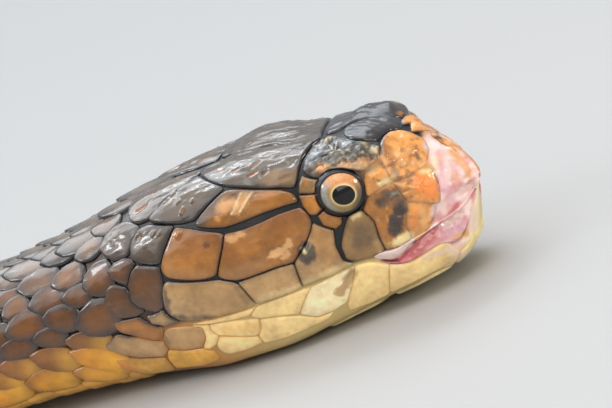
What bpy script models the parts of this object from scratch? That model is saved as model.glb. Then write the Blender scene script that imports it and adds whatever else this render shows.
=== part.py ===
"""King cobra, life size and still: head raised on its jaw, body lying in loose waves on the floor.

Metres, +Z up. The head faces +X, the animal's right side is -Y at the head, and the floor is z = 0.
The whole skin is one loft. Its named profile lines run from the snout tip to the tail tip, and a closed
smooth section is drawn through them at each station. The loft is parted into lengths of the body.
"""
import math

import bmesh
import bpy
import numpy as np

MM = 0.001
gap = 0.3                 # between nodes that meet face to face, mm
total_length = 3000.0     # snout tip to tail tip, mm

# Where the animal is parted, as distances behind the snout tip
head_end = 75.0
neck_end = 236.0
vent = 2400.0
body_lengths = 8
tail_lengths = 2

# Plan of the lying body: straight behind the head, then waves that fade towards the tail
straight_length = 230.0
wave_length = 900.0
wave_turn = math.radians(76)
wave_fade = 0.35

# Profile lines of the head and neck: (distance behind the snout tip, value), both in mm.
# Heights are above the floor and half-widths are from the middle plane.
head_lines = {
    "crown_z": ((0, 17.6), (1, 20.2), (4, 24.4), (10, 30.8), (16, 34.6), (23, 36.4), (34, 36.6),
                (44, 37), (56, 37.4), (68, 36.8), (80, 34.6), (96, 32.2), (120, 30.6)),
    "top_rise": ((0, 0), (28, 0), (36, 1.2), (50, 1.4), (66, 0.3), (80, 0), (120, 0)),
    "brow_y": ((0, 0), (1, 2.6), (4, 5.8), (10, 9.8), (16, 12.4), (25, 13.6), (34, 14),
               (46, 15.4), (58, 15.8), (68, 14.6), (80, 13), (96, 12), (120, 11.6)),
    "brow_z": ((0, 17.6), (1, 19.4), (4, 22.2), (10, 27.4), (16, 33.2), (22, 34.8), (34, 35.6),
               (44, 37), (56, 36), (68, 34.2), (80, 31), (96, 28.6), (120, 27)),
    "cheek_y": ((0, 0), (1, 3.2), (4, 7.2), (10, 12), (17, 14.6), (26, 17), (36, 19.6),
                (48, 22.6), (58, 22.8), (68, 20.8), (80, 19), (96, 17.6), (120, 17.2)),
    "cheek_z": ((0, 17.6), (4, 17.6), (10, 18.4), (26, 20.2), (48, 20.6), (68, 19.6), (96, 17.6), (120, 17)),
    "lip_z": ((0, 17.6), (1, 16), (4, 15.2), (8, 13.6), (13, 11.8), (17, 10), (22, 12), (26, 12.4),
              (34, 11.8), (47, 12.9), (56, 13), (63, 13.8), (72, 13.2), (96, 11.6), (120, 11.2)),
    "lip_tuck": ((0, 0), (1, 1.2), (3, 1.4), (8, 0.4), (14, 0), (120, 0)),
    "jaw_y": ((0, 0), (1, 1.6), (4, 5.6), (10, 10.4), (17, 13.4), (26, 16.2), (36, 18.8),
              (48, 21), (58, 21), (68, 18.8), (80, 16.6), (96, 15), (120, 14.8)),
    "keel_y": ((0, 0), (1.5, 0.6), (4, 4), (10, 8), (17, 10.4), (26, 13.4), (36, 16.6),
               (48, 19), (58, 19), (68, 15.8), (80, 12), (96, 10.4), (120, 10.2)),
    "floor_z": ((0, 17.6), (1.2, 14.4), (3, 10.4), (6, 5), (10, 2.8), (17, 2), (26, 1.3),
                (36, 0.4), (44, -0.4), (60, -0.4), (72, 0.2), (88, 1.4), (104, 2.4), (124, 2)),
}

# Behind the neck every line is a fixed share of the body's half-width
body_start = 150.0
half_width = ((150, 17.3), (400, 20.5), (800, 25.5), (1300, 28.5), (1800, 28), (2200, 23.5),
              (2400, 19.5), (2600, 13.5), (2800, 7.6), (2950, 3.2), (3000, 1.6))
body_shares = {"crown_z": 1.75, "top_rise": 0.0, "brow_y": 0.68, "brow_z": 1.575, "cheek_y": 1.0,
               "cheek_z": 0.98, "lip_z": 0.65, "lip_tuck": 0.0, "jaw_y": 0.86, "keel_y": 0.6,
               "floor_z": -0.05}
tail_tip_round = 4.0      # length of the rounded end of the tail, mm

# Mouth, in side view: (distance behind the snout tip, height), mm
upper_lip = ((-10, 15.8), (3, 15.2), (6.5, 14.2), (10, 12.9), (14, 11.2), (17, 9.8), (18.5, 10),
             (22, 12.2), (26, 12.6), (34, 12), (47, 13.1), (56, 13.2), (63.3, 14))
lower_lip = ((-10, 8), (5, 8.6), (9, 9.4), (15, 8.8), (19, 9.9), (22, 11.9), (26, 12.3),
             (34, 11.7), (47, 12.8), (56, 12.9), (62.6, 13.6))
jaw_hinge_lean = 6.0      # how far the rear cut of the jaw leans forward at its foot
gum_rear = 15.5
gum_inset = 0.4

# Eyes and nostrils, mm
eye_radius = 5.6
eye_place = (22.6, 12.3, 26.7)      # back, out from the middle, up
socket_gap = 0.3
nostril_place = (5.3, 2.75)         # back, girth
nostril_size = (0.7, 1.5)           # half-width, half-height
nostril_depth = 2.0

# Head shields of the right side, as corners (back in mm, girth): front-upper, rear-upper, rear-lower,
# front-lower. Girth runs 0 crown, 2 brow, 4 cheek, 5 lip, 7 jaw corner, 8 middle of the belly.
shield_rise = 0.5
shield_root = 0.9
shields = {
    "supralabial_1": ((8.8, 3.78), (12.5, 3.75), (12.4, 4.8), (9.6, 4.75)),
    "supralabial_2": ((12.9, 3.35), (14.0, 3.45), (17.2, 4.75), (13.1, 4.8)),
    "supralabial_3": ((14.9, 3.6), (18.2, 3.72), (22.3, 4.7), (18.1, 4.75)),
    "supralabial_4": ((19.0, 3.9), (22.6, 3.86), (25.4, 4.75), (23.0, 4.75)),
    "supralabial_5": ((23.2, 3.98), (29.8, 3.88), (35.0, 4.75), (26.0, 4.78)),
    "supralabial_6": ((33.6, 4.5), (45.4, 4.42), (45.0, 4.88), (36.8, 4.86)),
    "supralabial_7": ((46.6, 4.38), (61.6, 3.8), (64.0, 4.55), (46.2, 4.88)),
    "preocular": ((12.4, 2.62), (14.4, 2.62), (15.4, 3.2), (13.8, 3.3)),
    "postocular": ((28.4, 2.62), (29.6, 2.72), (30.5, 3.3), (28.9, 3.5)),
    "lower_temporal": ((31.3, 3.18), (45.5, 3.16), (49.8, 4.02), (32.8, 4.3)),
    "upper_temporal": ((30.8, 2.76), (47.4, 2.38), (50.4, 2.84), (31.2, 3.02)),
    "rear_temporal": ((47.2, 3.08), (55.6, 2.62), (60.6, 3.62), (51.8, 3.92)),
    "supraocular": ((13.2, 1.34), (24.0, 0.98), (27.4, 2.05), (13.2, 2.02)),
    "parietal": ((25.2, 0.1), (51.0, 0.1), (46.6, 1.95), (29.6, 2.5)),
    "occipital": ((52.0, 0.12), (62.5, 0.12), (60.5, 1.6), (50.0, 1.75)),
    "prefrontal": ((7.7, 0.1), (11.4, 0.1), (12.2, 2.45), (8.6, 2.45)),
    "internasal": ((3.4, 0.14), (7.2, 0.1), (7.6, 1.9), (4.0, 1.8)),
    "nasal": ((7.0, 2.15), (8.2, 2.6), (11.8, 3.6), (7.4, 3.65)),
}
frontal = ((12.0, -1.12), (22.8, -0.8), (22.8, 0.8), (12.0, 1.12))
chin_cuts = (9.5, 14.5, 19.5, 25.5, 33, 42, 52)     # sutures between the lower lip shields
chin_drop = 0.9           # from the edge of the lip down to the shields
chin_depth = 0.65         # of girth
chin_slant = 2.0

# Fineness of the loft
head_rings, head_sides = 21, 32
neck_step, neck_sides = 16.0, 24
body_step, body_sides = 18.0, 20


def through(points, x, warp=lambda value: value):
    """Smooth curve through points, with no overshoot between them."""
    px = warp(np.array([p[0] for p in points], float))
    py = np.array([p[1] for p in points], float)
    step = np.diff(px)
    slope = np.diff(py) / step
    lean = np.zeros(len(px))
    lean[0], lean[-1] = slope[0], slope[-1]
    for i in range(1, len(px) - 1):
        if slope[i - 1] * slope[i] > 0:
            before, after = 2 * step[i] + step[i - 1], step[i] + 2 * step[i - 1]
            lean[i] = (before + after) / (before / slope[i - 1] + after / slope[i])
    x = np.clip(warp(np.asarray(x, float)), px[0], px[-1])
    k = np.clip(np.searchsorted(px, x, side="right") - 1, 0, len(step) - 1)
    f = (x - px[k]) / step[k]
    rise = (1 + 2 * f) * (1 - f) ** 2 * py[k] + f * f * (3 - 2 * f) * py[k + 1]
    return rise + f * (1 - f) * step[k] * ((1 - f) * lean[k] - f * lean[k + 1])


def line(name, t):
    """A profile line at distance t: its own points on the head, a share of the width on the body."""
    width = through(half_width, t)
    end = (body_start, body_shares[name] * half_width[0][1])
    on_head = through(head_lines[name] + (end,), t, np.sqrt)
    return np.where(np.asarray(t) < body_start, on_head, body_shares[name] * width)


def section(t):
    """Nine control points (out, up) of the right half-section at each distance t."""
    v = {name: line(name, t) for name in head_lines}
    zero = 0 * v["crown_z"]
    drop = v["crown_z"] - v["brow_z"]
    points = [
        (zero, v["crown_z"]),
        (0.5 * v["brow_y"], v["crown_z"] - 0.12 * drop + v["top_rise"]),
        (v["brow_y"], v["brow_z"]),
        (v["brow_y"] + 0.72 * (v["cheek_y"] - v["brow_y"]),
         v["cheek_z"] + 0.55 * (v["brow_z"] - v["cheek_z"])),
        (v["cheek_y"], v["cheek_z"]),
        (v["cheek_y"] - 0.25 * (v["cheek_y"] - v["jaw_y"]) - v["lip_tuck"], v["lip_z"]),
        (v["jaw_y"], v["floor_z"] + 0.36 * (v["lip_z"] - v["floor_z"])),
        (v["keel_y"], v["floor_z"]),
        (zero, v["floor_z"]),
    ]
    return np.stack([np.stack(p, -1) for p in points], -2)


def local(t, girth):
    """Points (back, right, up) of the skin in mm; girth runs 0 to 16 round the section."""
    t, girth = np.broadcast_arrays(np.asarray(t, float), np.asarray(girth, float) % 16)
    half = section(t)
    ring = np.concatenate([half, half[..., 7:0:-1, :] * np.array([-1, 1])], -2)
    first = np.floor(girth).astype(int)
    f = (girth - first)[..., None]
    weights = ((1 - f) ** 3, 3 * f ** 3 - 6 * f ** 2 + 4, -3 * f ** 3 + 3 * f ** 2 + 3 * f + 1, f ** 3)
    out = 0
    for i, weight in enumerate(weights):
        pick = np.broadcast_to(((first - 1 + i) % 16)[..., None, None], ring.shape[:-2] + (1, 2))
        out = out + weight / 6 * np.take_along_axis(ring, pick, -2)[..., 0, :]
    left = np.maximum(total_length - t, 0)
    close = np.sqrt(np.clip(1 - (1 - np.minimum(left / tail_tip_round, 1)) ** 2, 0, 1))
    out = out * close[..., None]
    return np.stack([t, out[..., 0], np.maximum(out[..., 1], 0)], -1)


def ease(x):
    x = np.clip(x, 0, 1)
    return x * x * (3 - 2 * x)


def lay_path():
    """Plan of the middle line, one point each millimetre: x, y and the heading towards the tail."""
    s = np.arange(0.0, total_length + 1)
    strength = wave_turn * ease((s - straight_length) / 300) * (1 - wave_fade * ease((s - 2300) / 700))
    phase = np.maximum(s - straight_length, 0) * 2 * math.pi / wave_length
    heading = math.pi + strength * np.sin(phase)
    x = np.concatenate([[0], np.cumsum(np.cos((heading[1:] + heading[:-1]) / 2))])
    y = np.concatenate([[0], np.cumsum(np.sin((heading[1:] + heading[:-1]) / 2))])
    return s, x, y, heading


path = lay_path()


def place(points):
    """World points in metres from (back, right, up) in mm, before the part is centred."""
    t, right, up = points[..., 0], points[..., 1], points[..., 2]
    x, y, heading = (np.interp(t, path[0], values) for values in path[1:])
    ahead = np.minimum(t, 0)      # a point ahead of the snout tip
    return np.stack([x - ahead - np.sin(heading) * right, y + np.cos(heading) * right, up], -1) * MM


def middle_of_plan():
    """Centre of the box of the whole animal, seen from above."""
    t, girth = np.meshgrid(np.arange(0, total_length + 1, 5), np.arange(16), indexing="ij")
    points = place(local(t, girth)).reshape(-1, 3)
    centre = (points.min(0) + points.max(0)) / 2
    centre[2] = 0
    return centre


centre = middle_of_plan()


def skin(t, girth, rise=0.0):
    """World points on the skin, or rise mm outside it."""
    here = place(local(t, girth)) - centre
    if not np.any(rise):
        return here
    small = 0.02
    along = place(local(np.asarray(t) + small, girth)) - centre - here
    round_ = place(local(t, np.asarray(girth) + small)) - centre - here
    out = np.cross(along, round_)
    out /= np.linalg.norm(out, axis=-1, keepdims=True)
    return here + out * np.asarray(rise)[..., None] * MM


def make_material(name, color, roughness):
    material = bpy.data.materials.new(name)
    material.use_nodes = True
    shader = material.node_tree.nodes["Principled BSDF"]
    shader.inputs["Base Color"].default_value = (*color, 1)
    shader.inputs["Roughness"].default_value = roughness
    return material


def make_object(name, points, faces, material=None, collection=None):
    mesh = bpy.data.meshes.new(name)
    mesh.from_pydata([tuple(p) for p in points], [], faces)
    thing = bpy.data.objects.new(name, mesh)
    (collection or parts).objects.link(thing)
    if material:
        mesh.materials.append(material)
    return thing


def finish(thing):
    """Faces pointing out, smooth shading, and only the largest closed surface kept."""
    work = bmesh.new()
    work.from_mesh(thing.data)
    bmesh.ops.recalc_face_normals(work, faces=work.faces)
    islands, seen = [], set()
    for start in work.faces:
        if start in seen:
            continue
        island, queue = [], [start]
        seen.add(start)
        while queue:
            face = queue.pop()
            island.append(face)
            for near in (f for edge in face.edges for f in edge.link_faces if f not in seen):
                seen.add(near)
                queue.append(near)
        islands.append(island)
    islands.sort(key=lambda faces: sum(f.calc_area() for f in faces))
    for island in islands[:-1]:
        bmesh.ops.delete(work, geom=island, context="FACES")
    bmesh.ops.delete(work, geom=[v for v in work.verts if not v.link_faces], context="VERTS")
    bmesh.ops.triangulate(work, faces=work.faces)
    work.to_mesh(thing.data)
    work.free()
    thing.data.shade_smooth()
    thing.data.set_sharp_from_angle(angle=math.radians(35))
    return thing


def loft(name, stations, sides, material, inset=0.0, collection=None):
    """A closed length of the animal: one ring at each station, a single point at either tip."""
    girths = np.arange(sides) * 16 / sides
    rings, points, faces = [], [], []
    for t in stations:
        if t <= 0 or t >= total_length:
            ring = [len(points)]
            points.append(skin(t, 0.0))
        else:
            ring = list(range(len(points), len(points) + sides))
            points.extend(skin(np.full(sides, t), girths, np.full(sides, -inset)))
        rings.append(ring)
    for a, b in zip(rings, rings[1:]):
        for j in range(sides):
            k = (j + 1) % sides
            corners = [a[j % len(a)], b[j % len(b)], b[k % len(b)], a[k % len(a)]]
            faces.append(tuple(dict.fromkeys(corners)))
    faces += [tuple(ring) for ring in (rings[0], rings[-1]) if len(ring) > 1]
    return finish(make_object(name, points, faces, material, collection))


def prism(name, outline, half_depth=40.0):
    """A side-view outline of (back, up) points made thick across the head, as a cutter."""
    n = len(outline)
    points = []
    for side in (-half_depth, half_depth):
        for back, up in outline:
            points.append(place(np.array([min(back, 0), side, up])) - centre - (max(back, 0) * MM, 0, 0))
    faces = [tuple(range(n)), tuple(range(2 * n - 1, n - 1, -1))]
    faces += [(i, (i + 1) % n, (i + 1) % n + n, i + n) for i in range(n)]
    return cutter(finish(make_object(name, points, faces, collection=cutters)))


def cutter(thing):
    thing.hide_render = True
    thing.display_type = "WIRE"
    return thing


def cut(thing, operation, tool=None, collection=None):
    """One Boolean with an object or with all the objects of a collection, applied at once."""
    modifier = thing.modifiers.new(operation, "BOOLEAN")
    modifier.operation = operation
    modifier.solver = "EXACT"
    if collection:
        modifier.operand_type = "COLLECTION"
        modifier.collection = collection
    else:
        modifier.object = tool
    mesh = bpy.data.meshes.new_from_object(thing.evaluated_get(bpy.context.evaluated_depsgraph_get()))
    thing.modifiers.clear()
    thing.data = mesh
    return thing


def plate(name, corners, mirror, collection):
    """One head shield: a patch of the skin, raised and crowned, with its root sunk below the skin."""
    across, down = 4, 3
    a, b = np.meshgrid(np.linspace(0, 1, across + 1), np.linspace(0, 1, down + 1), indexing="ij")
    weights = ((1 - a) * (1 - b), a * (1 - b), a * b, (1 - a) * b)
    t = sum(w * corner[0] for w, corner in zip(weights, corners))
    girth = sum(w * corner[1] for w, corner in zip(weights, corners))
    if mirror:
        girth = -girth
    crown = np.where((a > 0) & (a < 1) & (b > 0) & (b < 1), shield_rise, shield_rise * 0.6)
    outer = skin(t, girth, crown).reshape(-1, 3)
    inner = skin(t, girth, crown * 0 - shield_root).reshape(-1, 3)
    size = len(outer)
    index = np.arange(size).reshape(across + 1, down + 1)
    faces = []
    for i in range(across):
        for j in range(down):
            quad = (index[i, j], index[i + 1, j], index[i + 1, j + 1], index[i, j + 1])
            faces.append(tuple(int(q) for q in quad))
            faces.append(tuple(int(q) + size for q in reversed(quad)))
    rim = list(index[:, 0]) + list(index[-1, 1:]) + list(index[-2::-1, -1]) + list(index[0, -2:0:-1])
    for p, q in zip(rim, rim[1:] + rim[:1]):
        faces.append((int(p), int(p) + size, int(q) + size, int(q)))
    return finish(make_object(name, np.concatenate([outer, inner]), faces, collection=collection))


def join_plates(thing, named_corners, middle=()):
    """Raises shields on a node: both sides of the named ones, and those that cross the middle."""
    group = bpy.data.collections.new("plates_" + thing.name)
    bpy.context.scene.collection.children.link(group)
    for name, corners in named_corners.items():
        for side, mirror in (("right", False), ("left", True)):
            plate(name + "_" + side, corners, mirror, group)
    for name, corners in middle:
        plate(name, corners, False, group)
    cut(thing, "UNION", collection=group)
    for piece in list(group.objects):
        bpy.data.objects.remove(piece)
    bpy.data.collections.remove(group)


def height_on(outline, back):
    return float(np.interp(back, [p[0] for p in outline], [p[1] for p in outline]))


def girth_at(t, height):
    """Where the side of the jaw is at a height."""
    girths = np.linspace(4, 7.5, 71)
    return float(np.interp(-height, -local(np.full(71, t), girths)[:, 2], girths))


def chin_shields():
    """The row of shields along the lower lip, between even sutures that lean back."""
    rows = {}
    for i, (a, b) in enumerate(zip(chin_cuts, chin_cuts[1:])):
        a, b = a + gap, b - gap
        top_a, top_b = (girth_at(t, height_on(lower_lip, t) - chin_drop) for t in (a, b))
        rows["infralabial_%d" % (i + 1)] = ((a, top_a), (b, top_b), (b + chin_slant, top_b + chin_depth),
                                            (a + chin_slant, top_a + chin_depth))
    return rows


def eye_point(side):
    back, out, up = eye_place
    return place(np.array([back, out * side, up])) - centre


def make_ball(name, place_at, radius, material=None, collection=None, segments=20, rings=12):
    work = bmesh.new()
    bmesh.ops.create_uvsphere(work, u_segments=segments, v_segments=rings, radius=radius * MM)
    mesh = bpy.data.meshes.new(name)
    work.to_mesh(mesh)
    work.free()
    ball = bpy.data.objects.new(name, mesh)
    ball.location = place_at
    (collection or parts).objects.link(ball)
    if material:
        mesh.materials.append(material)
    mesh.shade_smooth()
    return ball


def make_nostril(side):
    """A slit-shaped cutter that sinks into the side of the snout."""
    back, girth = nostril_place
    here = skin(back, girth * side)
    out = skin(back, girth * side, np.float64(1.0)) - here
    out /= np.linalg.norm(out)
    slit = make_ball("nostril_cut", here, 1.0, collection=cutters, segments=12, rings=8)
    slit.scale = (nostril_size[0], nostril_depth, nostril_size[1])
    slit.rotation_euler = (0, 0, math.atan2(-out[0], out[1]))
    return cutter(slit)


def make_head():
    stations = [0.0] + list(np.linspace(math.sqrt(0.6), math.sqrt(head_end - gap / 2), head_rings - 1) ** 2)
    form = loft("head", stations, head_sides, skin_materials["head"])
    jaw_form = form.copy()
    jaw_form.data = form.data.copy()
    jaw_form.name = "lower_jaw"
    parts.objects.link(jaw_form)

    below = -10.0
    corner = upper_lip[-1]
    mouth = prism("mouth_cut", upper_lip + ((corner[0] - jaw_hinge_lean, below), (below, below)))
    cut(form, "DIFFERENCE", mouth)
    join_plates(form, shields, [("frontal", frontal)])
    for side in (1, -1):
        socket = cutter(make_ball("socket_cut", eye_point(side), eye_radius + socket_gap, collection=cutters))
        cut(form, "DIFFERENCE", socket)
        cut(form, "DIFFERENCE", make_nostril(side))
    finish(form)

    corner = lower_lip[-1]
    chin = prism("jaw_cut", lower_lip + ((corner[0] - jaw_hinge_lean, below), (below, below)))
    cut(jaw_form, "INTERSECT", chin)
    join_plates(jaw_form, chin_shields())
    jaw_form.data.materials.clear()
    jaw_form.data.materials.append(skin_materials["jaw"])
    finish(jaw_form)


def make_gums():
    """The gum that shows between the lips at the front of the mouth."""
    stations = [0.0] + list(np.linspace(math.sqrt(0.6), math.sqrt(gum_rear + 4), 11) ** 2)
    gums = loft("mouth_lining", stations, head_sides, skin_materials["gum"], gum_inset)
    backs = [p[0] for p in upper_lip if p[0] < gum_rear] + [gum_rear]
    roof = [(back, height_on(upper_lip, back) - gap) for back in backs]
    backs = [p[0] for p in lower_lip if p[0] < gum_rear] + [gum_rear]
    bed = [(back, height_on(lower_lip, back) + gap) for back in reversed(backs)]
    cut(gums, "INTERSECT", prism("gum_cut", tuple(roof + bed)))
    finish(gums)


def make_length(name, start, end, step, sides, material):
    start, end = start + gap / 2, min(end - gap / 2, total_length) if end < total_length else total_length
    count = max(2, round((end - start) / step))
    stations = list(np.linspace(start, end, count + 1))
    if end >= total_length:
        stations[-1:] = [total_length - 2.5, total_length - 0.8, total_length]
    loft(name, stations, sides, material)


def make_body():
    make_length("neck", head_end, neck_end, neck_step, neck_sides, skin_materials["neck"])
    ends = np.linspace(neck_end, vent, body_lengths + 1)
    for i in range(body_lengths):
        make_length("body_%02d" % (i + 1), ends[i], ends[i + 1], body_step, body_sides, skin_materials["body"])
    ends = np.linspace(vent, total_length, tail_lengths + 1)
    for i in range(tail_lengths):
        make_length("tail_%02d" % (i + 1), ends[i], ends[i + 1], body_step, body_sides - 4,
                    skin_materials["tail"])


for old in list(bpy.data.objects):
    bpy.data.objects.remove(old)

parts = bpy.data.collections.new("king_cobra")
cutters = bpy.data.collections.new("cutters")
bpy.context.scene.collection.children.link(parts)
bpy.context.scene.collection.children.link(cutters)

skin_materials = {
    "head": make_material("head_shields", (0.30, 0.21, 0.11), 0.35),
    "jaw": make_material("lip_and_chin", (0.78, 0.68, 0.42), 0.4),
    "gum": make_material("gum", (0.72, 0.36, 0.34), 0.3),
    "neck": make_material("neck_scales", (0.26, 0.17, 0.09), 0.35),
    "body": make_material("body_scales", (0.20, 0.15, 0.09), 0.4),
    "tail": make_material("tail_scales", (0.12, 0.10, 0.07), 0.4),
    "eye": make_material("eye", (0.06, 0.05, 0.04), 0.05),
}

make_head()
make_gums()
make_ball("eye_right", eye_point(1), eye_radius, skin_materials["eye"])
make_ball("eye_left", eye_point(-1), eye_radius, skin_materials["eye"])
make_body()
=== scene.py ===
# King cobra, life size and still. Metres, +Z up, the snout faces +X and the animal's right side is -Y.
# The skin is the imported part's own loft, finer; shields and scales are solid plates that lie on it.
import math

import bpy
import numpy as np
from mathutils import Matrix, Vector


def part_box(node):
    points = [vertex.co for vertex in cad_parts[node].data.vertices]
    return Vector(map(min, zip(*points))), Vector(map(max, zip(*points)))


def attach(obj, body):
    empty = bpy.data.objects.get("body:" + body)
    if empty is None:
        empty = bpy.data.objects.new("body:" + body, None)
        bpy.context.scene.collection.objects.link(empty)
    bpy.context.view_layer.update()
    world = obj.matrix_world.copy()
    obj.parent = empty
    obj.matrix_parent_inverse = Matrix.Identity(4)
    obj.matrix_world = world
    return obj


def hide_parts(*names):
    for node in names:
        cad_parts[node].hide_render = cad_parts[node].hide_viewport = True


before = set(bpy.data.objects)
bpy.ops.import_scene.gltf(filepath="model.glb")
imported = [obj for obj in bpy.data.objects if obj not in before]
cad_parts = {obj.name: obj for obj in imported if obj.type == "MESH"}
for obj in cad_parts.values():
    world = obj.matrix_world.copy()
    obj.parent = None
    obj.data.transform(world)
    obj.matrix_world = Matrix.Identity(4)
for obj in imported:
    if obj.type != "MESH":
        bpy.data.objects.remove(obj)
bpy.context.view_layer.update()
fleshNodes = [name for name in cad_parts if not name.startswith("eye_")]
mm = 0.001

# The animal's form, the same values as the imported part: distances behind the snout tip, in mm
form = {
    "totalLength": 3000.0,
    "straightLength": 230.0,
    "waveLength": 900.0,
    "waveTurn": math.radians(76),
    "waveFade": 0.35,
    "bodyStart": 150.0,
    "tailTipRound": 4.0,
    "halfWidth": ((150, 17.3), (400, 20.5), (800, 25.5), (1300, 28.5), (1800, 28), (2200, 23.5),
                  (2400, 19.5), (2600, 13.5), (2800, 7.6), (2950, 3.2), (3000, 1.6)),
}
bodyShares = {"crownZ": 1.75, "topRise": 0.0, "browY": 0.68, "browZ": 1.575, "cheekY": 1.0,
              "cheekZ": 0.98, "lipZ": 0.65, "lipTuck": 0.0, "jawY": 0.86, "keelY": 0.6, "floorZ": -0.05}
headLines = {
    "crownZ": ((0, 17.6), (1, 20.2), (4, 24.4), (10, 30.8), (16, 34.6), (23, 36.4), (34, 36.6),
               (44, 37), (56, 37.4), (68, 36.8), (80, 34.6), (96, 32.2), (120, 30.6)),
    "topRise": ((0, 0), (28, 0), (36, 1.2), (50, 1.4), (66, 0.3), (80, 0), (120, 0)),
    "browY": ((0, 0), (1, 2.6), (4, 5.8), (10, 9.8), (16, 12.4), (25, 13.6), (34, 14),
              (46, 15.4), (58, 15.8), (68, 14.6), (80, 13), (96, 12), (120, 11.6)),
    "browZ": ((0, 17.6), (1, 19.4), (4, 22.2), (10, 27.4), (16, 33.2), (22, 34.8), (34, 35.6),
              (44, 37), (56, 36), (68, 34.2), (80, 31), (96, 28.6), (120, 27)),
    "cheekY": ((0, 0), (1, 3.2), (4, 7.2), (10, 12), (17, 14.6), (26, 17), (36, 19.6),
               (48, 22.6), (58, 22.8), (68, 20.8), (80, 19), (96, 17.6), (120, 17.2)),
    "cheekZ": ((0, 17.6), (4, 17.6), (10, 18.4), (26, 20.2), (48, 20.6), (68, 19.6), (96, 17.6), (120, 17)),
    "lipZ": ((0, 17.6), (1, 16), (4, 15.2), (8, 13.6), (13, 11.8), (17, 10), (22, 12), (26, 12.4),
             (34, 11.8), (47, 12.9), (56, 13), (63, 13.8), (72, 13.2), (96, 11.6), (120, 11.2)),
    "lipTuck": ((0, 0), (1, 1.2), (3, 1.4), (8, 0.4), (14, 0), (120, 0)),
    "jawY": ((0, 0), (1, 1.6), (4, 5.6), (10, 10.4), (17, 13.4), (26, 16.2), (36, 18.8),
             (48, 21), (58, 21), (68, 18.8), (80, 16.6), (96, 15), (120, 14.8)),
    "keelY": ((0, 0), (1.5, 0.6), (4, 4), (10, 8), (17, 10.4), (26, 13.4), (36, 16.6),
              (48, 19), (58, 19), (68, 15.8), (80, 12), (96, 10.4), (120, 10.2)),
    "floorZ": ((0, 17.6), (1.2, 14.4), (3, 10.4), (6, 5), (10, 2.8), (17, 2), (26, 1.3),
               (36, 0.4), (44, -0.4), (60, -0.4), (72, 0.2), (88, 1.4), (104, 2.4), (124, 2)),
}


def throughPoints(points, x, warp=lambda value: value):
    px = warp(np.array([p[0] for p in points], float))
    py = np.array([p[1] for p in points], float)
    step = np.diff(px)
    slope = np.diff(py) / step
    lean = np.zeros(len(px))
    lean[0], lean[-1] = slope[0], slope[-1]
    for i in range(1, len(px) - 1):
        if slope[i - 1] * slope[i] > 0:
            before, after = 2 * step[i] + step[i - 1], step[i] + 2 * step[i - 1]
            lean[i] = (before + after) / (before / slope[i - 1] + after / slope[i])
    x = np.clip(warp(np.asarray(x, float)), px[0], px[-1])
    k = np.clip(np.searchsorted(px, x, side="right") - 1, 0, len(step) - 1)
    f = (x - px[k]) / step[k]
    rise = (1 + 2 * f) * (1 - f) ** 2 * py[k] + f * f * (3 - 2 * f) * py[k + 1]
    return rise + f * (1 - f) * step[k] * ((1 - f) * lean[k] - f * lean[k + 1])


def profileLine(name, t):
    width = throughPoints(form["halfWidth"], t)
    end = (form["bodyStart"], bodyShares[name] * form["halfWidth"][0][1])
    onHead = throughPoints(headLines[name] + (end,), t, np.sqrt)
    return np.where(t < form["bodyStart"], onHead, bodyShares[name] * width)


def halfSections(t):
    v = {name: profileLine(name, t) for name in headLines}
    zero = 0 * v["crownZ"]
    drop = v["crownZ"] - v["browZ"]
    points = [
        (zero, v["crownZ"]),
        (0.5 * v["browY"], v["crownZ"] - 0.12 * drop + v["topRise"]),
        (v["browY"], v["browZ"]),
        (v["browY"] + 0.72 * (v["cheekY"] - v["browY"]), v["cheekZ"] + 0.55 * (v["browZ"] - v["cheekZ"])),
        (v["cheekY"], v["cheekZ"]),
        (v["cheekY"] - 0.25 * (v["cheekY"] - v["jawY"]) - v["lipTuck"], v["lipZ"]),
        (v["jawY"], v["floorZ"] + 0.36 * (v["lipZ"] - v["floorZ"])),
        (v["keelY"], v["floorZ"]),
        (zero, v["floorZ"]),
    ]
    return np.stack([np.stack(p, -1) for p in points], -2)


# Control points of the sections, tabled once so that many thousand scales can be set quickly
tableSteps = 9000
tableRoot = np.linspace(0, math.sqrt(form["totalLength"]), tableSteps + 1)
sectionTable = halfSections(tableRoot ** 2)
sectionTable = np.concatenate([sectionTable, sectionTable[:, 7:0:-1] * np.array([-1, 1])], 1)


def sectionPoint(t, girth):
    # (back, right, up) in mm; girth runs 0 to 16 round the body, 0 the crown, 4 the cheek, 8 the belly
    t, girth = np.broadcast_arrays(np.asarray(t, float), np.asarray(girth, float) % 16)
    place = np.sqrt(np.clip(t, 0, form["totalLength"])) / tableRoot[-1] * tableSteps
    row = np.minimum(place.astype(int), tableSteps - 1)
    part = (place - row)[..., None]
    first = np.floor(girth).astype(int)
    f = (girth - first)[..., None]
    weights = ((1 - f) ** 3, 3 * f ** 3 - 6 * f ** 2 + 4, -3 * f ** 3 + 3 * f ** 2 + 3 * f + 1, f ** 3)
    out = 0
    for i, weight in enumerate(weights):
        column = (first - 1 + i) % 16
        here = sectionTable[row, column] * (1 - part) + sectionTable[row + 1, column] * part
        out = out + weight / 6 * here
    left = np.maximum(form["totalLength"] - t, 0)
    close = np.sqrt(np.clip(1 - (1 - np.minimum(left / form["tailTipRound"], 1)) ** 2, 0, 1))
    out = out * close[..., None]
    return np.stack([t, out[..., 0], np.maximum(out[..., 1], 0)], -1)


def ease(x):
    x = np.clip(x, 0, 1)
    return x * x * (3 - 2 * x)


def between(low, high, x):
    return ease((np.asarray(x, float) - low) / (high - low))


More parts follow.
